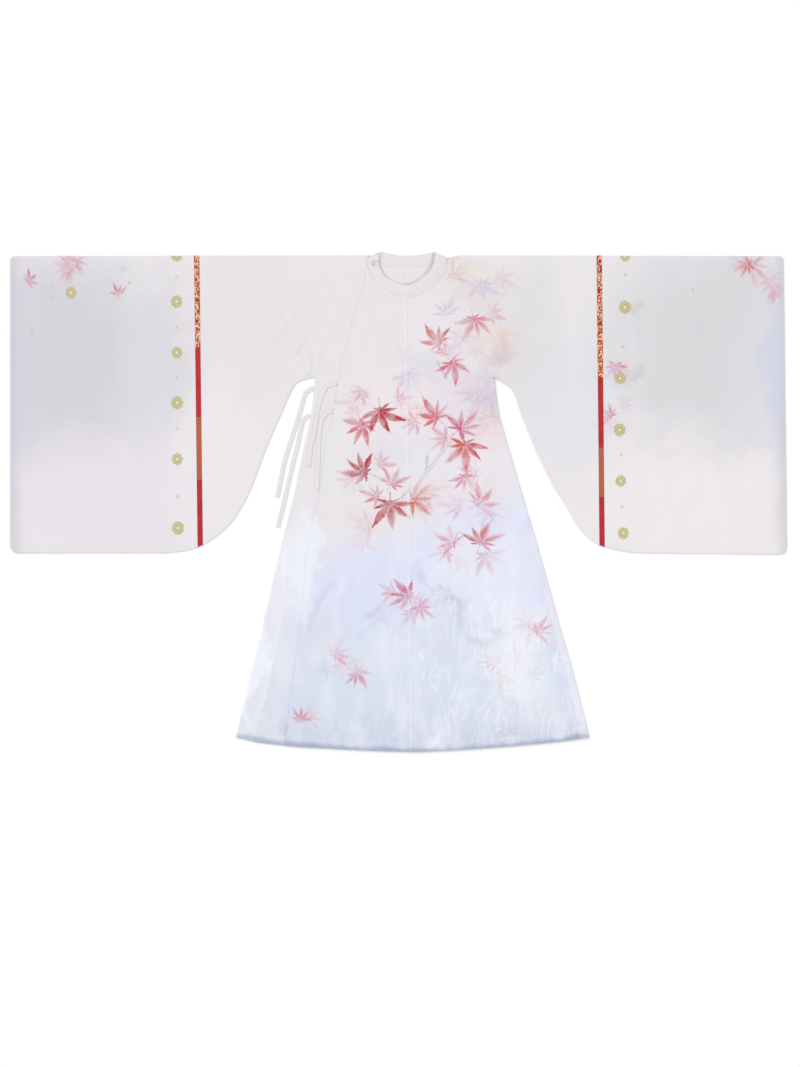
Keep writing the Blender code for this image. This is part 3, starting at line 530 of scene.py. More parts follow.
def paint_leaves(piece, layers=LEAF_LAYERS):
    """Gives each face of a piece the place that it has in every leaf painted over it, one leaf in a layer."""
    mesh = piece.data
    spot = corner_spots(mesh)
    middle, size, starts, counts = front_faces(mesh)
    taken = np.zeros((layers, len(starts)), bool)
    places = np.full((layers, len(spot), 3), FAR_AWAY)
    tints = np.zeros((layers, len(spot), 4))
    for number, row in enumerate(sorted(LEAVES, key=lambda row: -row[6])):
        across, up, radius, turn, flatness, tone, strength, softness = row
        own_bend = number * 7 % LEAF_BENDS
        under = np.hypot(middle[:, 0] - across, middle[:, 1] - up) < radius * LEAF_REACH + size * 2
        if not under.any():
            continue
        layer = next((k for k in range(layers) if not (taken[k] & under).any()), None)
        if layer is None:
            continue
        taken[layer] |= under
        on = corners_of(starts[under], counts[under])
        u, v = seen_from(spot[on], across, up, radius, radius * flatness, turn)
        places[layer][on] = np.stack([u, v, np.full(len(on), own_bend + softness)], 1)
        tints[layer][on] = (*TONES[tone], strength)
    for k in range(layers):
        write(mesh, f"leaf{k}", places[k], "CORNER")
        write(mesh, f"tint{k}", tints[k], "CORNER")


class Sheet:
    """The node tree of a finish or of a group of nodes, with short calls that add its nodes."""

    def __init__(self, name, tree=None):
        self.material = None
        if tree is None:
            self.material = bpy.data.materials.new(name)
            self.material.use_nodes = True
            tree = self.material.node_tree
        self.tree = tree
        self.shader = tree.nodes.get("Principled BSDF")

    @classmethod
    def of(cls, material):
        """The sheet of a finish that is already made."""
        sheet = cls(material.name, material.node_tree)
        sheet.material = material
        return sheet

    @classmethod
    def group(cls, name, takes, gives):
        """An empty group of nodes and the sockets that it takes; it gives what close() is handed."""
        sheet = cls(name, bpy.data.node_groups.new(name, "ShaderNodeTree"))
        for word, kind in takes:
            sheet.tree.interface.new_socket(word, in_out="INPUT", socket_type="NodeSocket" + kind)
        for word, kind in gives:
            sheet.tree.interface.new_socket(word, in_out="OUTPUT", socket_type="NodeSocket" + kind)
        return sheet, sheet.tree.nodes.new("NodeGroupInput").outputs

    def close(self, *values):
        """Ends a group of nodes and says what it gives."""
        end = self.tree.nodes.new("NodeGroupOutput")
        for socket, value in zip(end.inputs, values):
            self.put(socket, value)
        return self.tree

    def use(self, group, *values):
        """Adds a group of nodes and returns what it gives."""
        node = self.tree.nodes.new("ShaderNodeGroup")
        node.node_tree = group
        for socket, value in zip(node.inputs, values):
            self.put(socket, value)
        return node.outputs

    def put(self, socket, value):
        """Links a socket to another's value, or sets it."""
        if isinstance(value, bpy.types.NodeSocket):
            self.tree.links.new(value, socket)
        else:
            socket.default_value = value

    def node(self, kind, settings=(), **inputs):
        """Adds a node with its settings and inputs."""
        node = self.tree.nodes.new(kind)
        for word, value in dict(settings).items():
            setattr(node, word, value)
        for word, value in inputs.items():
            self.put(node.inputs[word.replace("_", " ")], value)
        return node

    def calc(self, operation, *values):
        """One step of arithmetic."""
        node = self.tree.nodes.new("ShaderNodeMath")
        node.operation = operation
        for socket, value in zip(node.inputs, values):
            self.put(socket, value)
        return node.outputs[0]

    def ramp(self, value, start, end):
        """0 at start to 1 at end, with level ends."""
        node = self.tree.nodes.new("ShaderNodeMapRange")
        node.interpolation_type = "SMOOTHSTEP"
        for socket, number in zip(node.inputs, (value, start, end)):
            self.put(socket, number)
        return node.outputs[0]

    def mix(self, factor, first, second, blend="MIX"):
        """A colour between two, or one laid over another."""
        node = self.tree.nodes.new("ShaderNodeMix")
        node.data_type = "RGBA"
        node.blend_type = blend
        self.put(node.inputs[0], factor)
        self.put(node.inputs[6], first)
        self.put(node.inputs[7], second)
        return node.outputs[2]

    def parts(self, vector):
        """The three numbers of a vector."""
        node = self.tree.nodes.new("ShaderNodeSeparateXYZ")
        self.tree.links.new(vector, node.inputs[0])
        return node.outputs[:3]

    def noise(self, vector, scale, detail=3.0, rough=0.5):
        """Soft cloudy noise."""
        node = self.node("ShaderNodeTexNoise", Vector=vector, Scale=scale, Detail=detail, Roughness=rough)
        return node.outputs[0]

    def stretched(self, vector, scale, turn=0.0):
        """Places scaled and turned, for a pattern that runs along the cloth."""
        node = self.node("ShaderNodeMapping", Vector=vector, Scale=scale, Rotation=(0, 0, turn))
        return node.outputs[0]

    def place(self):
        """Places on the robe, in metres."""
        return self.tree.nodes.new("ShaderNodeTexCoord").outputs["Object"]

    def attribute(self, name):
        """What write() stored under a name."""
        node = self.tree.nodes.new("ShaderNodeAttribute")
        node.attribute_name = name
        return node


LOBE_STEP = math.radians(40)
LOBE_LAST = 3
LOBE_SHORTENING = 0.060
LOBE_WIDTH = 0.53
LEAF_HEART = 0.13
STALK_LENGTH = 0.42
STALK_WIDTH = 0.020
LEAF_TWIST = 0.32
LOBE_UNEVENNESS = 0.10
LENGTH_SPREAD = 0.15
TEETH = 46.0
TOOTH_DEPTH = 0.06
LEAF_COOL = (0.95, 1.06, 1.26, 1)
LEAF_WARM = (1.04, 0.97, 0.86, 1)


def maple_leaf():
    """Group of nodes that paints one layer of maple leaves over a ground colour."""
    takes = (("Leaf", "Vector"), ("Tint", "Color"), ("Strength", "Float"), ("Ground", "Color"))
    takes = (*takes, ("Mottle", "Float"), ("Cloud", "Float"))
    sheet, given = Sheet.group("maple_leaf", takes, (("Color", "Color"),))
    leaf, tint, alpha, ground, mottle, cloud = given[:6]
    calc, ramp = sheet.calc, sheet.ramp
    u, v, both = sheet.parts(leaf)
    bend = calc("FLOOR", both)
    softness = calc("SUBTRACT", both, bend)
    bend = calc("DIVIDE", calc("SUBTRACT", bend, 5.0), 5.0)
    reach = calc("SQRT", calc("ADD", calc("MULTIPLY", u, u), calc("MULTIPLY", v, v)))
    turn = calc("ARCTAN2", v, u)
    turn = calc("ADD", turn, calc("MULTIPLY", calc("MULTIPLY", bend, reach), LEAF_TWIST))
    uneven = calc("SINE", calc("MULTIPLY_ADD", turn, 2.0, calc("MULTIPLY", bend, 9.0)))
    turn = calc("MULTIPLY_ADD", uneven, LOBE_UNEVENNESS, turn)
    lobe = calc("ROUND", calc("DIVIDE", turn, LOBE_STEP))
    lobe = calc("MAXIMUM", calc("MINIMUM", lobe, LOBE_LAST), -LOBE_LAST)
    length = calc("SUBTRACT", 1.0, calc("MULTIPLY", calc("MULTIPLY", lobe, lobe), LOBE_SHORTENING))
    spread = calc("SINE", calc("MULTIPLY_ADD", lobe, 2.3, calc("MULTIPLY", bend, 7.0)))
    length = calc("MULTIPLY_ADD", spread, LENGTH_SPREAD, length)
    off = calc("SUBTRACT", turn, calc("MULTIPLY", lobe, LOBE_STEP))
    scaled = calc("DIVIDE", reach, length)
    along = calc("MULTIPLY", scaled, calc("COSINE", off))
    signed = calc("MULTIPLY", scaled, calc("SINE", off))
    beside = calc("ABSOLUTE", signed)
    start = calc("POWER", calc("MAXIMUM", along, 0.001), 0.80)
    tip = calc("POWER", calc("MAXIMUM", calc("SUBTRACT", 1.0, along), 0.0), 1.25)
    beyond = calc("MAXIMUM", calc("SUBTRACT", along, 0.97), 0.0)
    teeth = calc("MULTIPLY_ADD", calc("SINE", calc("MULTIPLY", along, TEETH)), TOOTH_DEPTH, 1.0)
    width = calc("MULTIPLY", calc("MULTIPLY", calc("MULTIPLY", start, tip), LOBE_WIDTH), teeth)
    width = calc("SUBTRACT", width, calc("MULTIPLY", ramp(along, 0.42, 0.10), 0.03))
    width = calc("SUBTRACT", width, beyond)
    inside = calc("MAXIMUM", calc("SUBTRACT", width, beside), calc("SUBTRACT", LEAF_HEART, reach))
    stalk = calc("SUBTRACT", STALK_WIDTH, calc("ABSOLUTE", v))
    stalk = calc("MINIMUM", stalk, calc("MINIMUM", calc("MULTIPLY", u, -1.0), calc("ADD", u, STALK_LENGTH)))
    inside = calc("MAXIMUM", inside, stalk)
    ragged = calc("MULTIPLY", calc("SUBTRACT", mottle, 0.5), calc("MULTIPLY_ADD", softness, 1.0, 0.05))
    inside = calc("ADD", inside, ragged)
    side = calc("MULTIPLY", bend, 5.0)
    away = calc("MULTIPLY_ADD", u, calc("COSINE", side), calc("MULTIPLY", v, calc("SINE", side)))
    bloom = ramp(away, -0.75, 0.30)
    softness = calc("MULTIPLY", softness, calc("MULTIPLY_ADD", bloom, -1.1, 1.8))
    cover = ramp(calc("DIVIDE", inside, softness), -0.35, 0.75)
    vein = ramp(beside, 0.004, 0.018)
    half = ramp(signed, -0.05, 0.05)
    wash = calc("MULTIPLY_ADD", ramp(cloud, 0.34, 0.66), 0.46, 0.62)
    depth = calc("MULTIPLY", wash, calc("MULTIPLY_ADD", half, 0.16, 0.90))
    depth = calc("MULTIPLY", depth, calc("MULTIPLY_ADD", vein, -0.14, 1.10))
    depth = calc("MULTIPLY", depth, calc("MULTIPLY_ADD", bloom, 0.40, 0.72))
    warm = ramp(calc("MULTIPLY_ADD", reach, 0.20, cloud), 0.50, 0.72)
    tint = sheet.mix(1.0, tint, sheet.mix(warm, LEAF_COOL, LEAF_WARM), "MULTIPLY")
    strength = calc("MINIMUM", calc("MULTIPLY", calc("MULTIPLY", cover, alpha), depth), 1.0)
    return sheet.close(sheet.mix(strength, ground, tint))


def colour(red, green, blue):
    """A colour given in the eye's own scale of 0 to 255."""
    def straight(value):
        value /= 255
        return value / 12.92 if value < 0.04045 else ((value + 0.055) / 1.055) ** 2.4
    return (straight(red), straight(green), straight(blue), 1.0)


# Dyed washes: across, up, half width, half height, colour, strength
WASHES = (
    (-0.84, 0.38, 0.30, 0.28, colour(206, 206, 212), 0.84),
    (-0.98, 0.36, 0.12, 0.30, colour(210, 209, 216), 0.65),
    (-0.68, 0.30, 0.10, 0.26, colour(222, 221, 228), 0.50),
    (0.33, 0.42, 0.11, 0.20, colour(222, 220, 221), 0.72),
    (0.46, 0.26, 0.12, 0.16, colour(222, 224, 231), 0.60),
    (0.84, 0.42, 0.30, 0.28, colour(210, 211, 214), 0.80),
    (0.98, 0.32, 0.10, 0.24, colour(220, 219, 226), 0.55),
    (1.04, 0.36, 0.05, 0.27, colour(206, 209, 230), 0.70),
    (-1.04, 0.30, 0.04, 0.26, colour(208, 210, 229), 0.55),
    (-0.78, 0.00, 0.30, 0.18, colour(232, 225, 231), 0.85),
    (0.80, -0.02, 0.30, 0.18, colour(238, 232, 232), 0.85),
    (-0.40, 0.50, 0.20, 0.20, colour(230, 224, 226), 0.80),
    (-0.47, 0.10, 0.14, 0.26, colour(235, 230, 234), 0.80),
    (0.46, 0.56, 0.10, 0.10, colour(231, 228, 225), 0.70),
    (0.17, 0.60, 0.10, 0.07, colour(229, 224, 220), 0.80),
    (-0.12, 0.46, 0.16, 0.18, colour(231, 227, 227), 0.80),
    (0.18, 0.26, 0.13, 0.14, colour(229, 219, 227), 0.75),
    (-0.04, 0.24, 0.14, 0.09, colour(238, 228, 232), 0.70),
    (0.04, 0.12, 0.16, 0.10, colour(230, 227, 236), 0.80),
    (-0.13, 0.14, 0.07, 0.12, colour(230, 229, 227), 0.75),
    (0.22, 0.02, 0.10, 0.12, colour(236, 229, 238), 0.80),
    (0.060, 0.345, 0.055, 0.045, colour(218, 214, 226), 0.50),
    (0.215, 0.285, 0.065, 0.070, colour(222, 206, 218), 0.50),
    (0.200, 0.480, 0.070, 0.060, colour(232, 216, 222), 0.40),
    (0.275, 0.440, 0.045, 0.045, colour(234, 220, 214), 0.40),
    (0.230, 0.580, 0.080, 0.040, colour(226, 214, 218), 0.45),
    (0.040, 0.235, 0.070, 0.050, colour(236, 222, 223), 0.40),
    (-0.095, 0.225, 0.070, 0.060, colour(238, 222, 225), 0.35),
    (-0.040, 0.120, 0.080, 0.050, colour(226, 218, 228), 0.40),
    (0.215, 0.165, 0.075, 0.060, colour(236, 218, 220), 0.35),
    (-0.060, -0.040, 0.085, 0.045, colour(234, 220, 225), 0.40),
    (0.055, 0.015, 0.070, 0.040, colour(236, 220, 220), 0.35),
    (0.220, 0.010, 0.080, 0.055, colour(234, 220, 226), 0.45),
    (0.280, 0.395, 0.030, 0.026, colour(214, 196, 204), 0.50),
    (0.648, 0.534, 0.016, 0.017, colour(206, 207, 196), 0.75),
    (0.640, 0.340, 0.014, 0.014, colour(210, 208, 200), 0.65),
)
# The same on the blue of the skirt; the second to fifth rows are painted shade along the skirt's creases
SKIRT_WASHES_AND_CREASE_SHADE = (
    (0.175, -0.130, 0.080, 0.040, colour(232, 220, 232), 0.50),
    # painted shade along the skirt's creases, in these four rows
    (0.122, -0.286, 0.060, 0.020, colour(202, 208, 223), 0.42),
    (0.152, -0.325, 0.032, 0.016, colour(204, 210, 224), 0.40),
    (0.240, -0.372, 0.060, 0.014, colour(206, 212, 226), 0.32),
    (-0.078, -0.336, 0.040, 0.014, colour(208, 213, 228), 0.60),
    (-0.268, -0.190, 0.045, 0.150, colour(237, 240, 248), 0.90),
    (-0.385, -0.440, 0.030, 0.180, colour(238, 240, 248), 0.70),
    (0.240, -0.180, 0.120, 0.110, colour(234, 236, 246), 0.58),
    (0.330, -0.420, 0.090, 0.160, colour(239, 241, 249), 0.80),
    (-0.020, -0.410, 0.110, 0.060, colour(228, 233, 244), 0.50),
)
CLOTH_COLOUR = colour(231, 227, 231)
SKIRT_LILAC = colour(222, 224, 246)
SKIRT_BLUE = colour(215, 222, 238)
SKIRT_PALE = colour(232, 236, 247)
SKIRT_DEEP = colour(201, 208, 225)
# Painted shade beside the strong creases, standing in for the shade in the folds
CREASE_SHADE_COLOUR = colour(186, 190, 206)
CREASE_SHADE_STRENGTH = 240.0
STRONG_CREASE = 0.0009
HEM_CLOTH_AND_SHADE = colour(162, 172, 195)
CUFF_SHADE_COLOUR = colour(203, 203, 212)
REED_COLOUR = colour(247, 249, 253)
SEAM_SHADE = colour(176, 178, 190)
THREAD_SHADE = (0.988, 0.988, 0.991, 1)
REED_STRENGTH = 0.44
TWIG_STRENGTH = 0.42
WASH_DRIFT = 0.26
WASH_END = 1.7
CREASE_SHADE_END = 1.5
HEM_SHADE_WIDTH = 0.017
CUFF_SHADE_WIDTH = 0.045
# Reeds: lean, pitch, wander, gap
REEDS = (
    (math.radians(-8), 0.021, 19.0, 0.44),
    (math.radians(18), 0.027, 24.0, 0.47),
    (math.radians(-26), 0.035, 27.0, 0.50),
)
SKIRT_START = -0.005
SKIRT_SLOPE = 0.34
SKIRT_BLEND = 0.15
CUFF_END = 1.0475
CENTRE_TOP = 0.0170
CENTRE_SLANT = 0.0143
CENTRE_NECK = 0.552
NECK_MIDDLE = (0.0165, 0.667)
NECK_HALVES = (0.0690, 0.0810)
NECK_DEPTH = 0.0842
NECK_SHADOW_COLOUR = colour(190, 184, 180)
TWIG_COLOUR = colour(150, 146, 158)
# Twigs: foot across and up, turn in degrees, length, half width
TWIGS = (
    (0.034, 0.014, 58, 0.070, 0.0030),
    (0.070, 0.072, 52, 0.066, 0.0034),
    (0.108, 0.122, 49, 0.064, 0.0030),
    (0.074, 0.080, 84, 0.050, 0.0016),
    (0.116, 0.138, 76, 0.062, 0.0018),
    (-0.006, 0.000, 40, 0.052, 0.0018),
    (0.130, 0.330, 118, 0.060, 0.0014),
    (0.150, 0.480, 20, 0.060, 0.0014),
)


def turned_axis(sheet, x, y, turn, start=0.0):
    """How far a place lies along a direction."""
    aside = sheet.calc("MULTIPLY_ADD", y, math.sin(turn), -start)
    return sheet.calc("MULTIPLY_ADD", x, math.cos(turn), aside)


def reeds_of(sheet, place, x, y, sway, reed):
    """Thin flowing strokes of even width, side by side."""
    turn, pitch, wander, gap = reed
    along = turned_axis(sheet, x, y, turn)
    phase = sheet.calc("MULTIPLY_ADD", along, 2 * math.pi / pitch, sheet.calc("MULTIPLY", sway, wander))
    broken = sheet.noise(sheet.stretched(place, (34.0, 9.0, 1), -turn), 1.0, 2.0, 0.5)
    stroke = sheet.ramp(sheet.calc("COSINE", phase), 0.66, 0.98)
    return sheet.calc("MULTIPLY", stroke, sheet.ramp(broken, gap, gap + 0.16))


def twig(sheet, x, y, sway, row):
    """The two fine edges of a brushed twig."""
    across, up, turn, length, half_width = row
    turn = math.radians(turn)
    c, s = math.cos(turn), math.sin(turn)
    along = turned_axis(sheet, x, y, turn, across * c + up * s)
    aside = turned_axis(sheet, x, y, turn + math.pi / 2, up * c - across * s)
    aside = sheet.calc("ABSOLUTE", sheet.calc("ADD", sway, aside))
    edge = sheet.ramp(sheet.calc("ABSOLUTE", sheet.calc("SUBTRACT", aside, half_width)), 0.0026, 0.0002)
    ends = sheet.ramp(along, length + 0.004, length - 0.012)
    inside = sheet.calc("MULTIPLY", sheet.ramp(along, -0.004, 0.004), ends)
    return sheet.calc("MULTIPLY", edge, inside)


def washed(sheet, ground, wide, washes):
    """Soft washes laid over a ground: dyed tone, and on the skirt also painted shade along creases."""
    calc, (wide_x, wide_y) = sheet.calc, wide
    for across, up, half_width, half_height, wash, strength in washes:
        dx = calc("DIVIDE", calc("SUBTRACT", wide_x, across), half_width)
        dy = calc("DIVIDE", calc("SUBTRACT", wide_y, up), half_height)
        apart = calc("ADD", calc("MULTIPLY", dx, dx), calc("MULTIPLY", dy, dy))
        amount = calc("MULTIPLY", sheet.ramp(apart, WASH_END, 0.0), strength)
        ground = sheet.mix(amount, ground, wash)
    return ground


def dyed_skirt(sheet, ground, place, y, wide, body, skirt):
    """The skirt's lilac and blue, streaked and patched with paler cloth, with painted shade along some
    creases. It also gives the streaks.
    """
    calc, ramp = sheet.calc, sheet.ramp
    fall = calc("SUBTRACT", calc("MULTIPLY_ADD", wide[0], SKIRT_SLOPE, SKIRT_START), wide[1])
    blue = calc("MULTIPLY", calc("MULTIPLY", ramp(fall, 0.0, SKIRT_BLEND), body), skirt)
    streak = sheet.noise(sheet.stretched(place, (11.0, 5.0, 1), math.radians(20)), 1.0, 5.0, 0.6)
    patch = sheet.noise(sheet.stretched(place, (6.0, 9.0, 1), math.radians(-30)), 1.0, 4.0, 0.55)
    dye = sheet.mix(ramp(y, -0.12, -0.46), SKIRT_LILAC, SKIRT_BLUE)
    dye = sheet.mix(calc("MULTIPLY", ramp(y, -0.50, -0.67), 0.75), dye, SKIRT_DEEP)
    dye = sheet.mix(calc("MULTIPLY", ramp(streak, 0.46, 0.66), 0.62), dye, SKIRT_PALE)
    dye = sheet.mix(calc("MULTIPLY", ramp(patch, 0.50, 0.68), 0.35), dye, CLOTH_COLOUR)
    ground = sheet.mix(blue, ground, dye)
    return washed(sheet, ground, wide, SKIRT_WASHES_AND_CREASE_SHADE), streak


def painted_crease_shade(sheet, ground, wide):
    """Painted shade along the dark side of each strong crease."""
    calc, ramp = sheet.calc, sheet.ramp
    for across, up, turn, length, width, _, height in CREASES:
        if height < STRONG_CREASE:
            continue
        turn = math.radians(turn)
        c, s = math.cos(turn), math.sin(turn)
        along = turned_axis(sheet, *wide, turn, across * c + up * s)
        along = calc("DIVIDE", along, length * 1.1)
        aside = turned_axis(sheet, *wide, turn + math.pi / 2, up * c - across * s + width * 1.4)
        aside = calc("DIVIDE", aside, width * 1.5)
        apart = calc("ADD", calc("MULTIPLY", along, along), calc("MULTIPLY", aside, aside))
        tone = calc("MULTIPLY", ramp(apart, CREASE_SHADE_END, 0.0), height * CREASE_SHADE_STRENGTH)
        ground = sheet.mix(tone, ground, CREASE_SHADE_COLOUR)
    return ground


def brushed(sheet, ground, place, x, y, body, skirt):
    """Fine reeds on the lower skirt and brushed twigs between the leaves."""
    calc, ramp = sheet.calc, sheet.ramp
    reeds = 0.0
    sway = sheet.noise(place, 9.0, 2.0, 0.5)
    for reed in REEDS:
        reeds = calc("MAXIMUM", reeds, reeds_of(sheet, place, x, y, sway, reed))
    bank = calc("MULTIPLY", ramp(x, -0.16, 0.12), ramp(y, -0.10, -0.34))
    bank = calc("MULTIPLY", bank, ramp(sheet.noise(place, 9.0, 3.0), 0.36, 0.56))
    reeds = calc("MULTIPLY", calc("MULTIPLY", reeds, bank), body)
    ground = sheet.mix(calc("MULTIPLY", reeds, calc("MULTIPLY", skirt, REED_STRENGTH)), ground, REED_COLOUR)
    twigs = 0.0
    sway = calc("MULTIPLY_ADD", sheet.noise(place, 60.0, 2.0, 0.6), 0.012, -0.006)
    for row in TWIGS:
        twigs = calc("MAXIMUM", twigs, twig(sheet, x, y, sway, row))
    return sheet.mix(calc("MULTIPLY", twigs, TWIG_STRENGTH), ground, TWIG_COLOUR)


def centre_seam(sheet, ground, x, y, taken):
    """The seam down the middle of the front: a pale ridge with a soft painted shade beside it."""
    calc, ramp = sheet.calc, sheet.ramp
    seam = calc("MULTIPLY_ADD", calc("SUBTRACT", CENTRE_NECK, y), CENTRE_SLANT, CENTRE_TOP)
    seam = calc("SUBTRACT", x, seam)
    ridge = ramp(calc("ABSOLUTE", seam), 0.0034, 0.0012)
    # painted shade beside the seam ridge
    shade = ramp(calc("ABSOLUTE", calc("SUBTRACT", seam, 0.0062)), 0.0030, 0.0004)
    shown = calc("MULTIPLY", taken, calc("LESS_THAN", y, CENTRE_NECK))
    ground = sheet.mix(calc("MULTIPLY", calc("MULTIPLY", shade, 0.09), shown), ground, SEAM_SHADE)
    return sheet.mix(calc("MULTIPLY", calc("MULTIPLY", ridge, 0.26), shown), ground, REED_COLOUR)


def turned_hem_and_shade(sheet, ground, x, y, streak, body, skirt):
    """The darker edge where the skirt's hem is turned: the doubled cloth, and painted shade along its rolled
    edge.
    """
    calc, ramp = sheet.calc, sheet.ramp
    bow = calc("DIVIDE", calc("SUBTRACT", x, HEM_MIDDLE), HEM_HALF)
    hem = calc("SUBTRACT", y, calc("MULTIPLY_ADD", calc("MULTIPLY", bow, bow), HEM_BOW, HEM_LOW))
    # painted shade along the hem's rolled edge, its reach made uneven by the streaks
    shaded_reach = calc("MULTIPLY_ADD", calc("SUBTRACT", streak, 0.5), 0.034, hem)
    turned = calc("MULTIPLY", ramp(shaded_reach, HEM_SHADE_WIDTH, 0.0), body)
    amount = calc("MULTIPLY", turned, calc("MULTIPLY_ADD", skirt, 0.45, 0.45))
    return sheet.mix(amount, ground, HEM_CLOTH_AND_SHADE)


def neck_shade(sheet, ground, x, y):
    """The painted shadow inside the neck, deeper at the wearer's left."""
    calc, ramp = sheet.calc, sheet.ramp
    right_half, left_half = NECK_HALVES
    half = calc("GREATER_THAN", x, NECK_MIDDLE[0])
    half = calc("MULTIPLY_ADD", half, left_half - right_half, right_half)
    neck_x = calc("DIVIDE", calc("SUBTRACT", x, NECK_MIDDLE[0]), half)
    neck_y = calc("DIVIDE", calc("SUBTRACT", y, NECK_MIDDLE[1]), NECK_DEPTH)
    oval = calc("SQRT", calc("ADD", calc("MULTIPLY", neck_x, neck_x), calc("MULTIPLY", neck_y, neck_y)))
    left = ramp(neck_x, -0.7, 0.7)
    # painted shadow just inside the neck edge, not a facing tape
    facing = ramp(oval, calc("MULTIPLY_ADD", left, -0.12, 0.94), 0.99)
    facing = calc("MULTIPLY", facing, calc("LESS_THAN", oval, 1.12))
    facing = calc("MULTIPLY", facing, calc("MULTIPLY_ADD", left, 0.30, 0.30))
    facing = calc("MULTIPLY", facing, sheet.attribute("neck").outputs["Fac"])
    return sheet.mix(facing, ground, NECK_SHADOW_COLOUR)


def painted_print(name, layers, with_skirt=True):
    """Group of nodes with the soft dyed washes, blue towards the hem, the painted leaves and the threads, and
    painted shade at the creases, the hem, the cuffs, the centre seam and inside the neck.
    """
    takes = (("Skirt", "Float"), ("Seam", "Float"))
    sheet, (skirt, seam_taken, _) = Sheet.group(name, takes, (("Color", "Color"), ("Slub", "Float")))
    calc, ramp = sheet.calc, sheet.ramp
    place = sheet.place()
    x, y, _ = sheet.parts(place)
    cloud = sheet.noise(place, 6.0, 5.0, 0.6)
    drift = calc("MULTIPLY", calc("SUBTRACT", cloud, 0.5), WASH_DRIFT)
    wide = calc("ADD", x, drift), calc("ADD", y, drift)
    ground = washed(sheet, CLOTH_COLOUR, wide, WASHES)
    if with_skirt:
        body = calc("MULTIPLY_ADD", calc("SUBTRACT", 0.33, y), 0.30, 0.30)
        body = calc("LESS_THAN", calc("ABSOLUTE", x), body)
        ground, streak = dyed_skirt(sheet, ground, place, y, wide, body, skirt)
        # painted shade along the strong creases
        ground = painted_crease_shade(sheet, ground, wide)
        ground = brushed(sheet, ground, place, x, y, body, skirt)

    mottle = sheet.noise(place, 190.0, 4.0, 0.6)
    leaf_cloud = sheet.noise(place, 34.0, 3.0, 0.5)
    leaf_group = maple_leaf()
    for layer in reversed(range(layers)):
        leaf, tint = sheet.attribute(f"leaf{layer}").outputs, sheet.attribute(f"tint{layer}").outputs
        painted_leaf = (leaf["Vector"], tint["Color"], tint["Alpha"])
        ground = sheet.use(leaf_group, *painted_leaf, ground, mottle, leaf_cloud)[0]
    if with_skirt:
        ground = centre_seam(sheet, ground, x, y, seam_taken)

    threads = sheet.noise(sheet.stretched(place, (420.0, 9.0, 1)), 1.0, 2.0)
    picks = sheet.noise(sheet.stretched(place, (9.0, 420.0, 1)), 1.0, 2.0)
    slub = calc("ADD", threads, picks)
    ground = sheet.mix(ramp(slub, 0.80, 1.25), sheet.mix(1.0, ground, THREAD_SHADE, "MULTIPLY"), ground)
    if with_skirt:
        ground = turned_hem_and_shade(sheet, ground, x, y, streak, body, skirt)
    # Painted shade along the cuff edges, its reach made uneven by the cloud
    cuff = calc("SUBTRACT", CUFF_END, calc("ABSOLUTE", x))
    shaded_reach = calc("MULTIPLY_ADD", calc("SUBTRACT", cloud, 0.5), 0.05, cuff)
    ground = sheet.mix(calc("MULTIPLY", ramp(shaded_reach, CUFF_SHADE_WIDTH, 0.0), 0.74), ground, CUFF_SHADE_COLOUR)
    inset = calc("SUBTRACT", sheet.attribute("hem").outputs["Fac"], HEM_WIDTH)
    inset = ramp(calc("ABSOLUTE", inset), 0.0026, 0.0004)
    ground = sheet.mix(calc("MULTIPLY", inset, 0.12), ground, REED_COLOUR)
    if with_skirt:
        ground = neck_shade(sheet, ground, x, y)
    return sheet.close(ground, slub)


def painted_cloth(name, tint=(1, 1, 1, 1), skirt=1.0, seam=1.0, group=None):
    """Thin plain-woven cloth with the print."""
    sheet = Sheet(name)
    ground, slub = sheet.use(group or print_group, skirt, seam)
    sheet.put(sheet.shader.inputs["Base Color"], sheet.mix(1.0, ground, tint, "MULTIPLY"))
    weave(sheet, sheet.place(), slub)
    return sheet.material


WEAVE_SCALE = 70.0


def weave(sheet, place, slub):
    """Fine plain weave with uneven threads, as a bump, and a faint bloom of loose fibre."""
    warp = sheet.node("ShaderNodeTexWave", {"bands_direction": "X"}, Vector=place, Scale=WEAVE_SCALE)
    weft = sheet.node("ShaderNodeTexWave", {"bands_direction": "Y"}, Vector=place, Scale=WEAVE_SCALE)
    cloth = sheet.calc("MULTIPLY", warp.outputs["Fac"], weft.outputs["Fac"])
    cloth = sheet.calc("ADD", cloth, sheet.calc("MULTIPLY", slub, 1.5))
    bump = sheet.node("ShaderNodeBump", Strength=0.25, Distance=0.0002, Height=cloth)
    sheet.put(sheet.shader.inputs["Normal"], bump.outputs[0])
    sheet.put(sheet.shader.inputs["Roughness"], sheet.calc("MULTIPLY_ADD", slub, 0.08, 0.72))
    sheet.shader.inputs["Specular IOR Level"].default_value = 0.25
    sheet.shader.inputs["Sheen Weight"].default_value = 0.12
    sheet.shader.inputs["Sheen Roughness"].default_value = 0.5


def placed(piece, node, finish):
    """Puts a finish on a piece, lets it ride on the robe and stand for its node."""
    piece.data.materials.append(finish)
    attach(piece, "root")
    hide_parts(node)
    return piece


print_group = painted_print("painted_print", LEAF_LAYERS)
painted = painted_cloth("painted_cloth")
plainer = painted_cloth("side_cloth", skirt=0.72)
BODY_FINISH = {"right_body": plainer, "left_body": painted}
for node in ("right_body", "left_body"):
    half = draped(node, hem=skirt_hem)
    paint_leaves(half)
    face_neck(half)
    placed(half, node, BODY_FINISH[node])


# Side wings
# A narrow gore of the same cloth at each side of the skirt, folded at its outer edge and sewn to the body's
# side below the hip. The right one is wide and shows whitish beside the body.

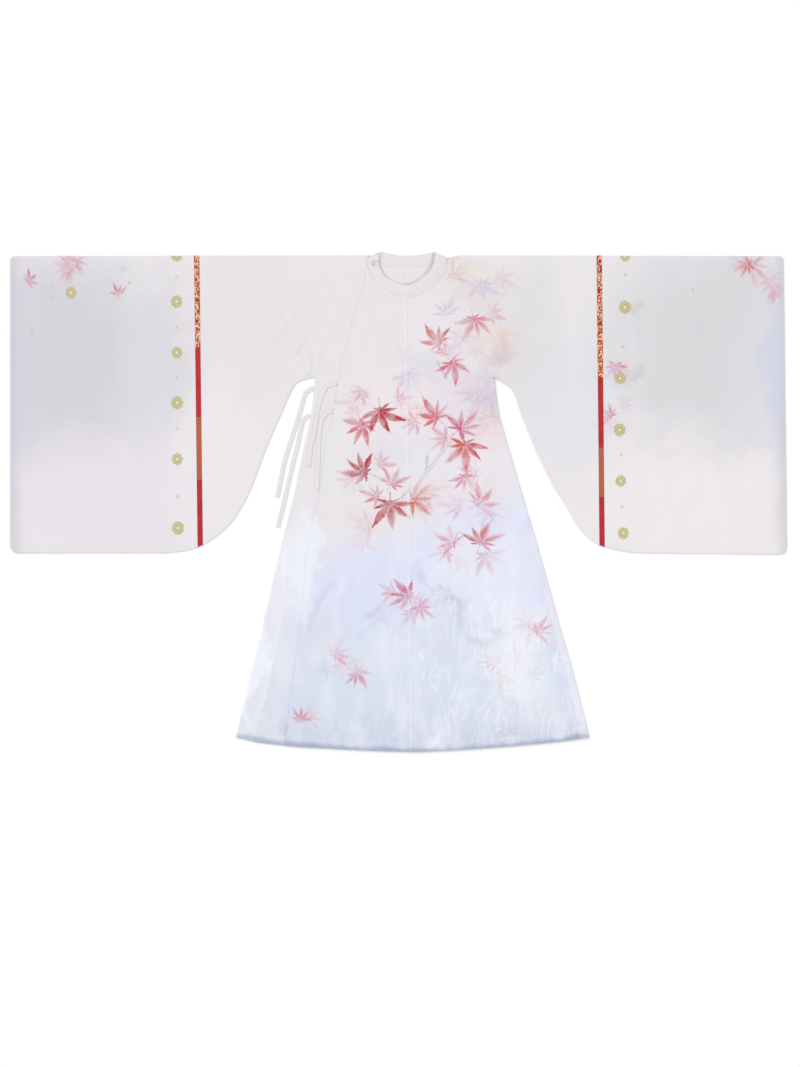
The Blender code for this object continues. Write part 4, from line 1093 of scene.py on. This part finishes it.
WING_CUTS = {"right_wing": ((0.120, 0.530), 0.0496), "left_wing": ((0.048, 0.400), 0.0172)}
WING_TINT = (1.04, 1.04, 1.05, 1)

wing_finish = painted_cloth("wing_cloth", tint=WING_TINT, skirt=0.55)
for node, (cut, area) in WING_CUTS.items():
    wing = draped(node, hem=skirt_hem)
    paint_leaves(wing)
    placed(wing, node, wing_finish)


# Sleeve bands
# A narrow woven ribbon set into each sleeve, all round it. It is red satin with gold scrolls at the shoulder,
# then plain red, then a length of fine gold stripes, then plain red again.

BAND_PLACES = {"right_sleeve_band": (-0.5446, 0.0122), "left_sleeve_band": (0.5419, 0.0098)}
SHOULDER_TOP = 0.6651
BAND_HALF = 0.00725
BAND_RED = colour(190, 10, 16)
BAND_SHADE = colour(150, 8, 16)
BAND_GOLD = colour(246, 220, 170)
BAND_BRONZE = colour(186, 138, 88)
BAND_OLIVE = colour(140, 96, 58)
SCROLL_PITCH = 0.0260
STRIPE_PITCH = 0.0036
# Ends of the scrolls, of the first plain length and of the stripes, below the shoulder
BAND_LENGTHS = {"right_sleeve_band": (0.250, 0.438, 0.605), "left_sleeve_band": (0.330, 0.521, 0.653)}


def ribbon(name, lengths):
    """Red satin ribbon with gold scrolls and stripes on parts of its length."""
    sheet = Sheet(name)
    calc, ramp = sheet.calc, sheet.ramp
    u, v, _ = sheet.parts(sheet.attribute("lay").outputs["Vector"])
    place = sheet.place()
    sway = sheet.node("ShaderNodeTexNoise", Vector=place, Scale=62.0, Detail=1.0)
    sway_x, sway_y, _ = sheet.parts(sway.outputs["Color"])
    cell = calc("MULTIPLY_ADD", calc("SUBTRACT", sway_y, 0.5), 1.3, calc("DIVIDE", v, SCROLL_PITCH))
    flip = calc("SUBTRACT", calc("MULTIPLY", calc("MODULO", calc("FLOOR", cell), 2.0), 2.0), 1.0)
    a = calc("MULTIPLY_ADD", calc("SUBTRACT", sway_x, 0.5), 0.9, calc("MULTIPLY", u, 0.42))
    a = calc("MULTIPLY", a, flip)
    b = calc("SUBTRACT", calc("FRACT", cell), 0.5)
    reach = calc("SQRT", calc("ADD", calc("MULTIPLY", a, a), calc("MULTIPLY", b, b)))
    coil = calc("SINE", calc("MULTIPLY_ADD", reach, 13.0, calc("ARCTAN2", b, a)))
    curl = calc("MULTIPLY", ramp(coil, -0.05, 0.35), ramp(reach, 0.52, 0.46))
    leaf = calc("SINE", calc("MULTIPLY", calc("ARCTAN2", b, a), 5.0))
    curl = calc("MAXIMUM", curl, calc("MULTIPLY", ramp(leaf, 0.2, 0.6), ramp(reach, 0.50, 0.53)))
    scrolls, plain, stripes = lengths
    curl = calc("MULTIPLY", curl, calc("LESS_THAN", v, scrolls))
    fleck = sheet.noise(sheet.stretched(place, (620.0, 170.0, 1)), 1.0, 2.0, 0.6)
    line = calc("SINE", calc("MULTIPLY_ADD", fleck, 5.0, calc("MULTIPLY", v, 2 * math.pi / STRIPE_PITCH)))
    line = calc("MULTIPLY", ramp(line, -0.4, 0.5), calc("GREATER_THAN", v, plain))
    line = calc("MULTIPLY", line, calc("LESS_THAN", v, stripes))
    cloud = sheet.noise(place, 30.0, 2.0)
    ground = sheet.mix(calc("MULTIPLY", ramp(cloud, 0.62, 0.38), 0.5), BAND_RED, BAND_SHADE)
    patch = ramp(sheet.noise(place, 95.0, 2.0), 0.52, 0.62)
    patch = calc("MULTIPLY", patch, calc("LESS_THAN", v, scrolls))
    ground = sheet.mix(calc("MULTIPLY", patch, 0.65), ground, BAND_OLIVE)
    gold = sheet.mix(ramp(sheet.noise(place, 300.0, 2.0), 0.38, 0.55), BAND_BRONZE, BAND_GOLD)
    ground = sheet.mix(curl, ground, gold)
    ground = sheet.mix(calc("MULTIPLY", line, 0.75), ground, BAND_BRONZE)
    selvedge = ramp(calc("ABSOLUTE", u), 0.84, 0.90)
    ground = sheet.mix(calc("MULTIPLY", selvedge, 0.4), ground, BAND_SHADE)
    sheet.put(sheet.shader.inputs["Base Color"], ground)
    threads = sheet.noise(sheet.stretched(place, (2400.0, 300.0, 1)), 1.0, 2.0)
    raised = calc("ADD", calc("ADD", curl, line), calc("MULTIPLY", threads, 0.6))
    bump = sheet.node("ShaderNodeBump", Strength=0.5, Distance=0.0002, Height=raised)
    sheet.put(sheet.shader.inputs["Normal"], bump.outputs[0])
    sheet.put(sheet.shader.inputs["Roughness"], calc("MULTIPLY_ADD", threads, 0.2, 0.34))
    sheet.shader.inputs["Sheen Weight"].default_value = 0.15
    return sheet.material


for node, (top, slant) in BAND_PLACES.items():
    band = draped(node)
    place = read(band.data, "vertices", "co", 3)
    down = SHOULDER_TOP - place[:, 1]
    lay = np.stack([(place[:, 0] - top - slant * down) / BAND_HALF, down, place[:, 2] * 0], 1)
    write(band.data, "lay", lay)
    placed(band, node, ribbon(node + "_satin", BAND_LENGTHS[node]))


# Outer sleeves
# Wide square sleeve ends of the painted cloth, folded at the top and closed by a rounded seam below, with the
# cuff turned in. A column of gold flower roundels runs down each one beside the ribbon.

SLEEVE_CUTS = {"right_outer_sleeve": ((0.505, 1.606), 0.803), "left_outer_sleeve": ((0.498, 1.607), 0.787)}
CUFF_PLACE = 1.0350
GOLD = colour(194, 183, 114)
GOLD_PALE = colour(238, 232, 206)
GOLD_DEEP = colour(152, 134, 74)

# Gold flowers: across, up, radius, turn in degrees
FLOWERS = (
    (-0.5985, 0.6640, 0.0170, 10), (-0.5990, 0.5390, 0.0175, 35), (-0.5980, 0.4010, 0.0160, 70),
    (-0.5975, 0.2660, 0.0180, 5), (-0.5970, 0.1140, 0.0165, 50), (-0.5950, -0.0720, 0.0185, 20),
    (-0.5990, 0.6050, 0.0045, 0), (-0.5985, 0.4700, 0.0050, 30), (-0.5980, 0.3350, 0.0045, 10),
    (-0.5970, 0.1960, 0.0050, 50), (-0.5960, 0.0120, 0.0055, 15),
    (-0.8840, 0.5630, 0.0160, 25), (-0.7270, 0.5900, 0.0050, 0), (-0.9890, 0.4600, 0.0050, 20),
    (0.6120, 0.6620, 0.0150, 15), (0.6110, 0.5240, 0.0180, 40), (0.5990, 0.3320, 0.0160, 0),
    (0.5970, 0.1930, 0.0175, 60), (0.6000, 0.0550, 0.0160, 30), (0.6070, -0.0860, 0.0165, 10),
    (0.6120, 0.6110, 0.0050, 0), (0.6060, 0.4170, 0.0050, 30), (0.6020, 0.1250, 0.0045, 10),
    (0.6030, -0.0160, 0.0050, 50), (0.7950, 0.5700, 0.0040, 0),
)
SMALL_FLOWER = 0.008
FLOWER_REACH = 1.4
FLOWER_HEIGHT = 1.10


def paint_flowers(piece):
    """Gives each face the place that it has in the gold flower painted over it."""
    mesh = piece.data
    spot = corner_spots(mesh)
    middle, size, starts, counts = front_faces(mesh)
    places = np.full((len(spot), 3), FAR_AWAY)
    for across, up, radius, turn in FLOWERS:
        near = np.hypot(middle[:, 0] - across, middle[:, 1] - up) < radius * FLOWER_REACH + size * 2
        if not near.any():
            continue
        on = corners_of(starts[near], counts[near])
        u, v = seen_from(spot[on], across, up, radius, radius * FLOWER_HEIGHT, turn)
        places[on] = np.stack([u, v, np.full(len(on), float(radius < SMALL_FLOWER))], 1)
    write(mesh, "flower", places, "CORNER")


def add_flowers(finish):
    """Lays gold flowers over a painted cloth."""
    sheet = Sheet.of(finish)
    calc, ramp = sheet.calc, sheet.ramp
    u, v, small = sheet.parts(sheet.attribute("flower").outputs["Vector"])
    reach = calc("SQRT", calc("ADD", calc("MULTIPLY", u, u), calc("MULTIPLY", v, v)))
    turn = calc("ARCTAN2", v, u)
    petals = calc("COSINE", calc("MULTIPLY", turn, 8.0))
    fleck = sheet.noise(sheet.place(), 420.0, 3.0, 0.6)
    edge = calc("MULTIPLY_ADD", petals, 0.035, calc("MULTIPLY_ADD", fleck, 0.34, 0.74))
    cover = ramp(calc("SUBTRACT", edge, reach), -0.10, 0.22)
    rings = calc("SINE", calc("MULTIPLY_ADD", petals, 1.3, calc("MULTIPLY", reach, 13.0)))
    light = calc("MULTIPLY", ramp(rings, 0.1, 1.0), calc("MULTIPLY", ramp(reach, 0.78, 0.40), 0.60))
    centre = calc("MULTIPLY_ADD", calc("SUBTRACT", fleck, 0.5), 0.5, reach)
    light = calc("MAXIMUM", light, calc("MULTIPLY", ramp(centre, 0.34, 0.10), 0.95))
    gold = sheet.mix(light, GOLD, GOLD_PALE)
    deep = calc("MAXIMUM", ramp(rings, -0.3, -1.0), calc("MULTIPLY", ramp(reach, 0.66, 0.90), 0.8))
    gold = sheet.mix(calc("MULTIPLY", deep, 0.55), gold, GOLD_DEEP)
    amount = calc("MULTIPLY", cover, calc("MULTIPLY_ADD", small, -0.40, 0.88))
    old = sheet.shader.inputs["Base Color"].links[0].from_socket
    sheet.put(sheet.shader.inputs["Base Color"], sheet.mix(amount, old, gold))
    old = sheet.shader.inputs["Roughness"].links[0].from_socket
    sheet.put(sheet.shader.inputs["Roughness"], calc("MULTIPLY_ADD", amount, -0.28, old))
    sheet.put(sheet.shader.inputs["Metallic"], calc("MULTIPLY", amount, 0.25))


def cuff_hem(x, y, near=0.008):
    """Where a sleeve's cuff is, or within a distance of it."""
    return np.abs(x) > CUFF_PLACE - near


sleeve_print = painted_print("sleeve_print", SLEEVE_LAYERS, with_skirt=False)
sleeve_finish = painted_cloth("sleeve_cloth", group=sleeve_print)
add_flowers(sleeve_finish)
for node, (cut, area) in SLEEVE_CUTS.items():
    sleeve = draped(node, hem=cuff_hem)
    paint_leaves(sleeve, SLEEVE_LAYERS)
    paint_flowers(sleeve)
    placed(sleeve, node, sleeve_finish)


# Overlap
# The front's own extension, sewn on at the centre seam. It crosses the body, lies over its right half, and
# has a facing turned in along its free edge. The print runs over it.

# height, free edge
OVERLAP_EDGE = (
    (-0.6585, -0.3065), (-0.5775, -0.2970), (-0.4420, -0.2795), (-0.2690, -0.2587), (-0.1180, -0.2457),
    (0.0280, -0.2120), (0.1520, -0.1958), (0.2440, -0.1742), (0.3660, -0.1553), (0.4840, -0.1239),
    (0.5790, -0.0932), (0.6320, -0.0862),
)


def overlap_edge(up):
    """Where the overlap's free edge is at a height."""
    return np.interp(up, *np.array(OVERLAP_EDGE).T)


def overlap_hem(x, y, near=0.006):
    """Where the overlap's free edge and its hem are, or within a distance of them."""
    return skirt_hem(x, y, near) | (x < overlap_edge(y) + near)


overlap = draped("overlap", hem=overlap_hem)
paint_leaves(overlap)
placed(overlap, "overlap", painted)


# Underlap
# The inner front's extension, hidden below the left front but for what shows at the hem and the neck. It is
# of the wings' paler cloth.

underlap = draped("underlap", divisions=3)
paint_leaves(underlap)
placed(underlap, "underlap", wing_finish)


# Collar
# A round band of doubled cloth with a stiffening, topstitched at both edges. It runs round the neck, and its
# end lies over the right shoulder, where a frog button closes it.

COLLAR_CROWN = 0.0005
COLLAR_EDGE_SHADE = colour(206, 203, 205)
COLLAR_TINT = (0.984, 0.974, 0.978, 1)
EDGE_SHADE_WIDTH = 0.0026
EDGE_SHADE_STRENGTH = 0.22


def shade_edges(finish):
    """Paints a little shade along a cloth's sewn edges."""
    sheet = Sheet.of(finish)
    edge = sheet.ramp(sheet.attribute("rim").outputs["Fac"], EDGE_SHADE_WIDTH, 0.0)
    old = sheet.shader.inputs["Base Color"].links[0].from_socket
    shaded = sheet.mix(sheet.calc("MULTIPLY", edge, EDGE_SHADE_STRENGTH), old, COLLAR_EDGE_SHADE)
    sheet.put(sheet.shader.inputs["Base Color"], shaded)


collar_finish = painted_cloth("collar_cloth", tint=COLLAR_TINT, skirt=0.0, seam=0.0)
# Painted shade along the edges of the collar and the ties
shade_edges(collar_finish)
collar = draped("collar", divisions=3, over=0.0, crown=COLLAR_CROWN)
paint_leaves(collar)
face_neck(collar)
placed(collar, "collar", collar_finish)


# Ties
# Four flat tapes of doubled cloth. Two hang from the right side seam and lie on the floor, and two come from
# the overlap's free edge and lie on the front.

TIE_CROWN = 0.0002
TIE_CUTS = {
    "tie_side_upper": ((0.0125, 0.325), 0.0040, "floor"),
    "tie_side_lower": ((0.0125, 0.325), 0.0040, "floor"),
    "tie_overlap_upper": ((0.0125, 0.255), 0.0031, "right_body_cloth"),
    "tie_overlap_lower": ((0.0125, 0.240), 0.0029, "right_body_cloth"),
}

for node, (cut, area, below) in TIE_CUTS.items():
    tie = draped(node, divisions=2, over=0.0, crown=TIE_CROWN)
    paint_leaves(tie)
    placed(tie, node, collar_finish)


# Frog button
# A ball knotted from thin twisted cord, sewn to the collar's end, and the corded loop that holds it. Both are
# of the robe's own pale cloth, rolled and twisted.

FROG = (-0.0700, 0.6440)
FROG_BASE = 0.0052
BALL_ACROSS = 0.0033
BALL_UP = 0.0022
BALL_CORD = 0.00105
LOOP_CORD = 0.0012
LOOP_BEND = 0.0060
LOOP_LENGTH = 0.0155
CORD_SIDES = 14
STRANDS = 3
STRAND_DEPTH = 0.14
STRAND_PITCH = 0.0042
CORD_COLOUR = colour(246, 243, 246)
CORD_SHADE = colour(230, 226, 230)
LOOP_STEPS = 16
LOOP_STEP = 0.0010


def from_points(name, points, faces):
    """A new piece made from points and faces, with its faces turned outwards."""
    mesh = bpy.data.meshes.new(name)
    mesh.from_pydata(points, [], faces)
    piece = bpy.data.objects.new(name, mesh)
    bpy.context.scene.collection.objects.link(piece)
    only(piece)
    bpy.ops.object.mode_set(mode="EDIT")
    bpy.ops.mesh.select_all(action="SELECT")
    bpy.ops.mesh.normals_make_consistent(inside=False)
    bpy.ops.object.mode_set(mode="OBJECT")
    return piece


def corded(name, line, radius, closed=False):
    """A tube of twisted strands along a line of points."""
    line = np.array(line)
    count = len(line)
    before, after = np.roll(line, 1, 0), np.roll(line, -1, 0)
    if not closed:
        before[0], after[-1] = line[0], line[-1]
    ahead = after - before
    ahead /= np.linalg.norm(ahead, axis=1)[:, None]
    lengths = np.linalg.norm(np.diff(line, axis=0, append=line[:1]), axis=1)
    run = np.concatenate([[0], np.cumsum(lengths)[:-1]])
    pitch = STRAND_PITCH
    if closed:
        pitch = lengths.sum() / round(lengths.sum() / STRAND_PITCH)
    aside = np.cross(ahead, (0.0, 0.0, 1.0))
    aside /= np.maximum(np.linalg.norm(aside, axis=1), 0.001)[:, None]
    upward = np.cross(aside, ahead)
    turns = np.arange(CORD_SIDES) * 2 * math.pi / CORD_SIDES
    twist = STRANDS * (turns[None] - run[:, None] * 2 * math.pi / pitch / STRANDS)
    swell = 1 + STRAND_DEPTH * (np.cos(twist) - 1)
    reach = radius * swell[..., None]
    rings = line[:, None] + reach * (
        aside[:, None] * np.cos(turns)[None, :, None] + upward[:, None] * np.sin(turns)[None, :, None]
    )
    steps = count if closed else count - 1
    faces = [
        (
            i * CORD_SIDES + j,
            i * CORD_SIDES + (j + 1) % CORD_SIDES,
            (i + 1) % count * CORD_SIDES + (j + 1) % CORD_SIDES,
            (i + 1) % count * CORD_SIDES + j,
        )
        for i in range(steps)
        for j in range(CORD_SIDES)
    ]
    if not closed:
        faces += [tuple(range(CORD_SIDES)), tuple((count - 1) * CORD_SIDES + j for j in range(CORD_SIDES))]
    piece = from_points(name, rings.reshape(-1, 3).tolist(), faces)
    bpy.ops.object.shade_smooth_by_angle(angle=math.radians(60))
    return piece


def cord_cloth():
    """Rolled pale cloth with a faint random fibre tone."""
    sheet = Sheet("corded_cloth")
    place = sheet.place()
    fibre = sheet.noise(place, 2200.0, 3.0)
    shade = sheet.mix(sheet.ramp(fibre, 0.3, 0.7), CORD_SHADE, CORD_COLOUR)
    sheet.put(sheet.shader.inputs["Base Color"], shade)
    bump = sheet.node("ShaderNodeBump", Strength=0.4, Distance=0.0001, Height=fibre)
    sheet.put(sheet.shader.inputs["Normal"], bump.outputs[0])
    sheet.put(sheet.shader.inputs["Roughness"], sheet.calc("MULTIPLY_ADD", fibre, 0.2, 0.6))
    sheet.shader.inputs["Sheen Weight"].default_value = 0.15
    return sheet.material


BALL_POINTS = 180
knot = []
for i in range(BALL_POINTS):
    turn = 2 * math.pi * i / BALL_POINTS
    tilt = math.radians(76) * math.sin(3 * turn)
    swell = 1 + 0.13 * math.cos(6 * turn)
    knot.append((
        FROG[0] + BALL_ACROSS * swell * math.cos(2 * turn) * math.cos(tilt),
        FROG[1] + BALL_ACROSS * swell * math.sin(2 * turn) * math.cos(tilt),
        FROG_BASE + BALL_CORD + BALL_UP * (1 + swell * math.sin(tilt)),
    ))
cord_finish = cord_cloth()
placed(corded("frog_ball", knot, BALL_CORD, closed=True), "frog_knot", cord_finish)
loop_height = FROG_BASE + LOOP_CORD
loop = [(FROG[0] + LOOP_LENGTH - i * LOOP_STEP, FROG[1] - LOOP_BEND, loop_height) for i in range(LOOP_STEPS)]
for turn in range(-80, 81, 8):
    loop.append((
        FROG[0] - LOOP_BEND * math.cos(math.radians(turn)),
        FROG[1] + LOOP_BEND * math.sin(math.radians(turn)),
        loop_height,
    ))
loop += [(FROG[0] + i * LOOP_STEP, FROG[1] + LOOP_BEND, loop_height) for i in range(LOOP_STEPS)]
placed(corded("frog_cord", loop, LOOP_CORD), "frog_loop", cord_finish)


# Stitching
# Fine pale thread that holds the turned edges: a row round the hem, at each cuff, along the overlap's facing,
# at the collar's edges and beside the ribbons. Each stitch lies on the cloth.

STITCH_PITCH = 0.0034
STITCH_LENGTH = 0.0024
STITCH_WIDTH = 0.00035
STITCH_HEIGHT = 0.00022
RAY_START = 0.05
THREAD = colour(226, 224, 231)
THREAD_DARK = colour(198, 196, 208)
STEP_LIMIT = 0.0008
STITCH_INSET = 0.0015
RIBBON_GAP = 0.0018
# The collar's inner and outer edges at the front
NECK_EDGE = (
    (-0.0513, 0.6692), (-0.0518, 0.6408), (-0.0462, 0.6219), (-0.0365, 0.6074), (-0.0192, 0.5958),
    (0.0022, 0.5868), (0.0162, 0.5828), (0.0324, 0.5852), (0.0500, 0.5939), (0.0697, 0.6093),
    (0.0888, 0.6284), (0.0967, 0.6535), (0.0975, 0.6706),
)
COLLAR_OUTSIDE = (
    (-0.0837, 0.6584), (-0.0824, 0.6300), (-0.0729, 0.6057), (-0.0581, 0.5841), (-0.0338, 0.5679),
    (-0.0041, 0.5558), (0.0176, 0.5517), (0.0392, 0.5528), (0.0635, 0.5598), (0.0905, 0.5774),
    (0.1134, 0.5976), (0.1318, 0.6260), (0.1323, 0.6549),
)
surfaces = [o for o in bpy.data.objects if o.name.endswith("_cloth") and o.type == "MESH"]


def top_of(x, y):
    """Height of the topmost cloth at a place, or None where there is none."""
    heights = []
    for surface in surfaces:
        hit, spot, _, _ = surface.ray_cast((x, y, RAY_START), (0, 0, -1))
        if hit:
            heights.append(spot.z)
    return max(heights) if heights else None


def stitched(name, rows, finish):
    """Stitches along rows of points, joined in one piece."""
    verts, faces = [], []
    for row in rows:
        row = [Vector(p) for p in row]
        carried = 0.0
        for a, b in zip(row, row[1:]):
            length = (b - a).length
            ahead = (b - a) / length
            aside = Vector((-ahead.y, ahead.x)) * STITCH_WIDTH
            while carried < length:
                middle = a + ahead * carried
                ends = [middle - ahead * STITCH_LENGTH / 2, middle + ahead * STITCH_LENGTH / 2]
                levels = [top_of(*p) for p in (ends[0], middle, ends[1])]
                carried += STITCH_PITCH
                if None in levels or max(levels) - min(levels) > STEP_LIMIT:
                    continue
                first = len(verts)
                low, high = levels[1] - STITCH_HEIGHT * 0.4, levels[1] + STITCH_HEIGHT
                verts += [
                    (*ends[0], levels[0] - STITCH_HEIGHT * 0.3), (*ends[1], levels[2] - STITCH_HEIGHT * 0.3),
                    (*(middle + aside), levels[1]), (*(middle - aside), levels[1]),
                    (*middle, high), (*middle, low),
                ]
                for side_a, side_b in ((2, 4), (4, 3), (3, 5), (5, 2)):
                    faces.append((first, first + side_a, first + side_b))
                    faces.append((first + 1, first + side_b, first + side_a))
            carried -= length
    piece = from_points(name, [tuple(v) for v in verts], faces)
    bpy.ops.object.shade_smooth()
    piece.data.materials.append(finish)
    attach(piece, "root")
    return piece


def thread_finish():
    """Fine twisted thread."""
    sheet = Sheet("sewing_thread")
    place = sheet.place()
    twist = sheet.noise(place, 3000.0, 2.0)
    shade = sheet.mix(sheet.ramp(twist, 0.3, 0.7), THREAD_DARK, THREAD)
    sheet.put(sheet.shader.inputs["Base Color"], shade)
    sheet.put(sheet.shader.inputs["Roughness"], sheet.calc("MULTIPLY_ADD", twist, 0.3, 0.4))
    return sheet.material


def span(start, end, step=0.02):
    """Numbers from start to end in even steps."""
    return np.linspace(start, end, max(2, round(abs(end - start) / step) + 1))


thread = thread_finish()
hem_rows = [[(x, hem_height(x) + HEM_WIDTH - STITCH_INSET) for x in span(-0.430, 0.508)]]
cuff_stitch = CUFF_END - HEM_WIDTH + STITCH_INSET
cuff_rows = [[(side * cuff_stitch, y) for y in span(0.655, -0.130)] for side in (-1, 1)]
facing_rows = [
    [(overlap_edge(y) + inset, y) for y in span(0.632, -0.645)]
    for inset in (STITCH_INSET, HEM_WIDTH - STITCH_INSET)
]
ribbon_rows = [
    [(top + slant * (SHOULDER_TOP - y) + edge, y) for y in span(0.660, -0.118)]
    for top, slant in BAND_PLACES.values()
    for edge in (-BAND_HALF - RIBBON_GAP, BAND_HALF + RIBBON_GAP)
]
collar_rows = [
    [(x * (1 - share) + outer_x * share, y * (1 - share) + outer_y * share)
     for (x, y), (outer_x, outer_y) in zip(NECK_EDGE, COLLAR_OUTSIDE)]
    for share in (0.07, 0.93)
]
seams = stitched("stitching", hem_rows + cuff_rows + facing_rows + ribbon_rows + collar_rows, thread)
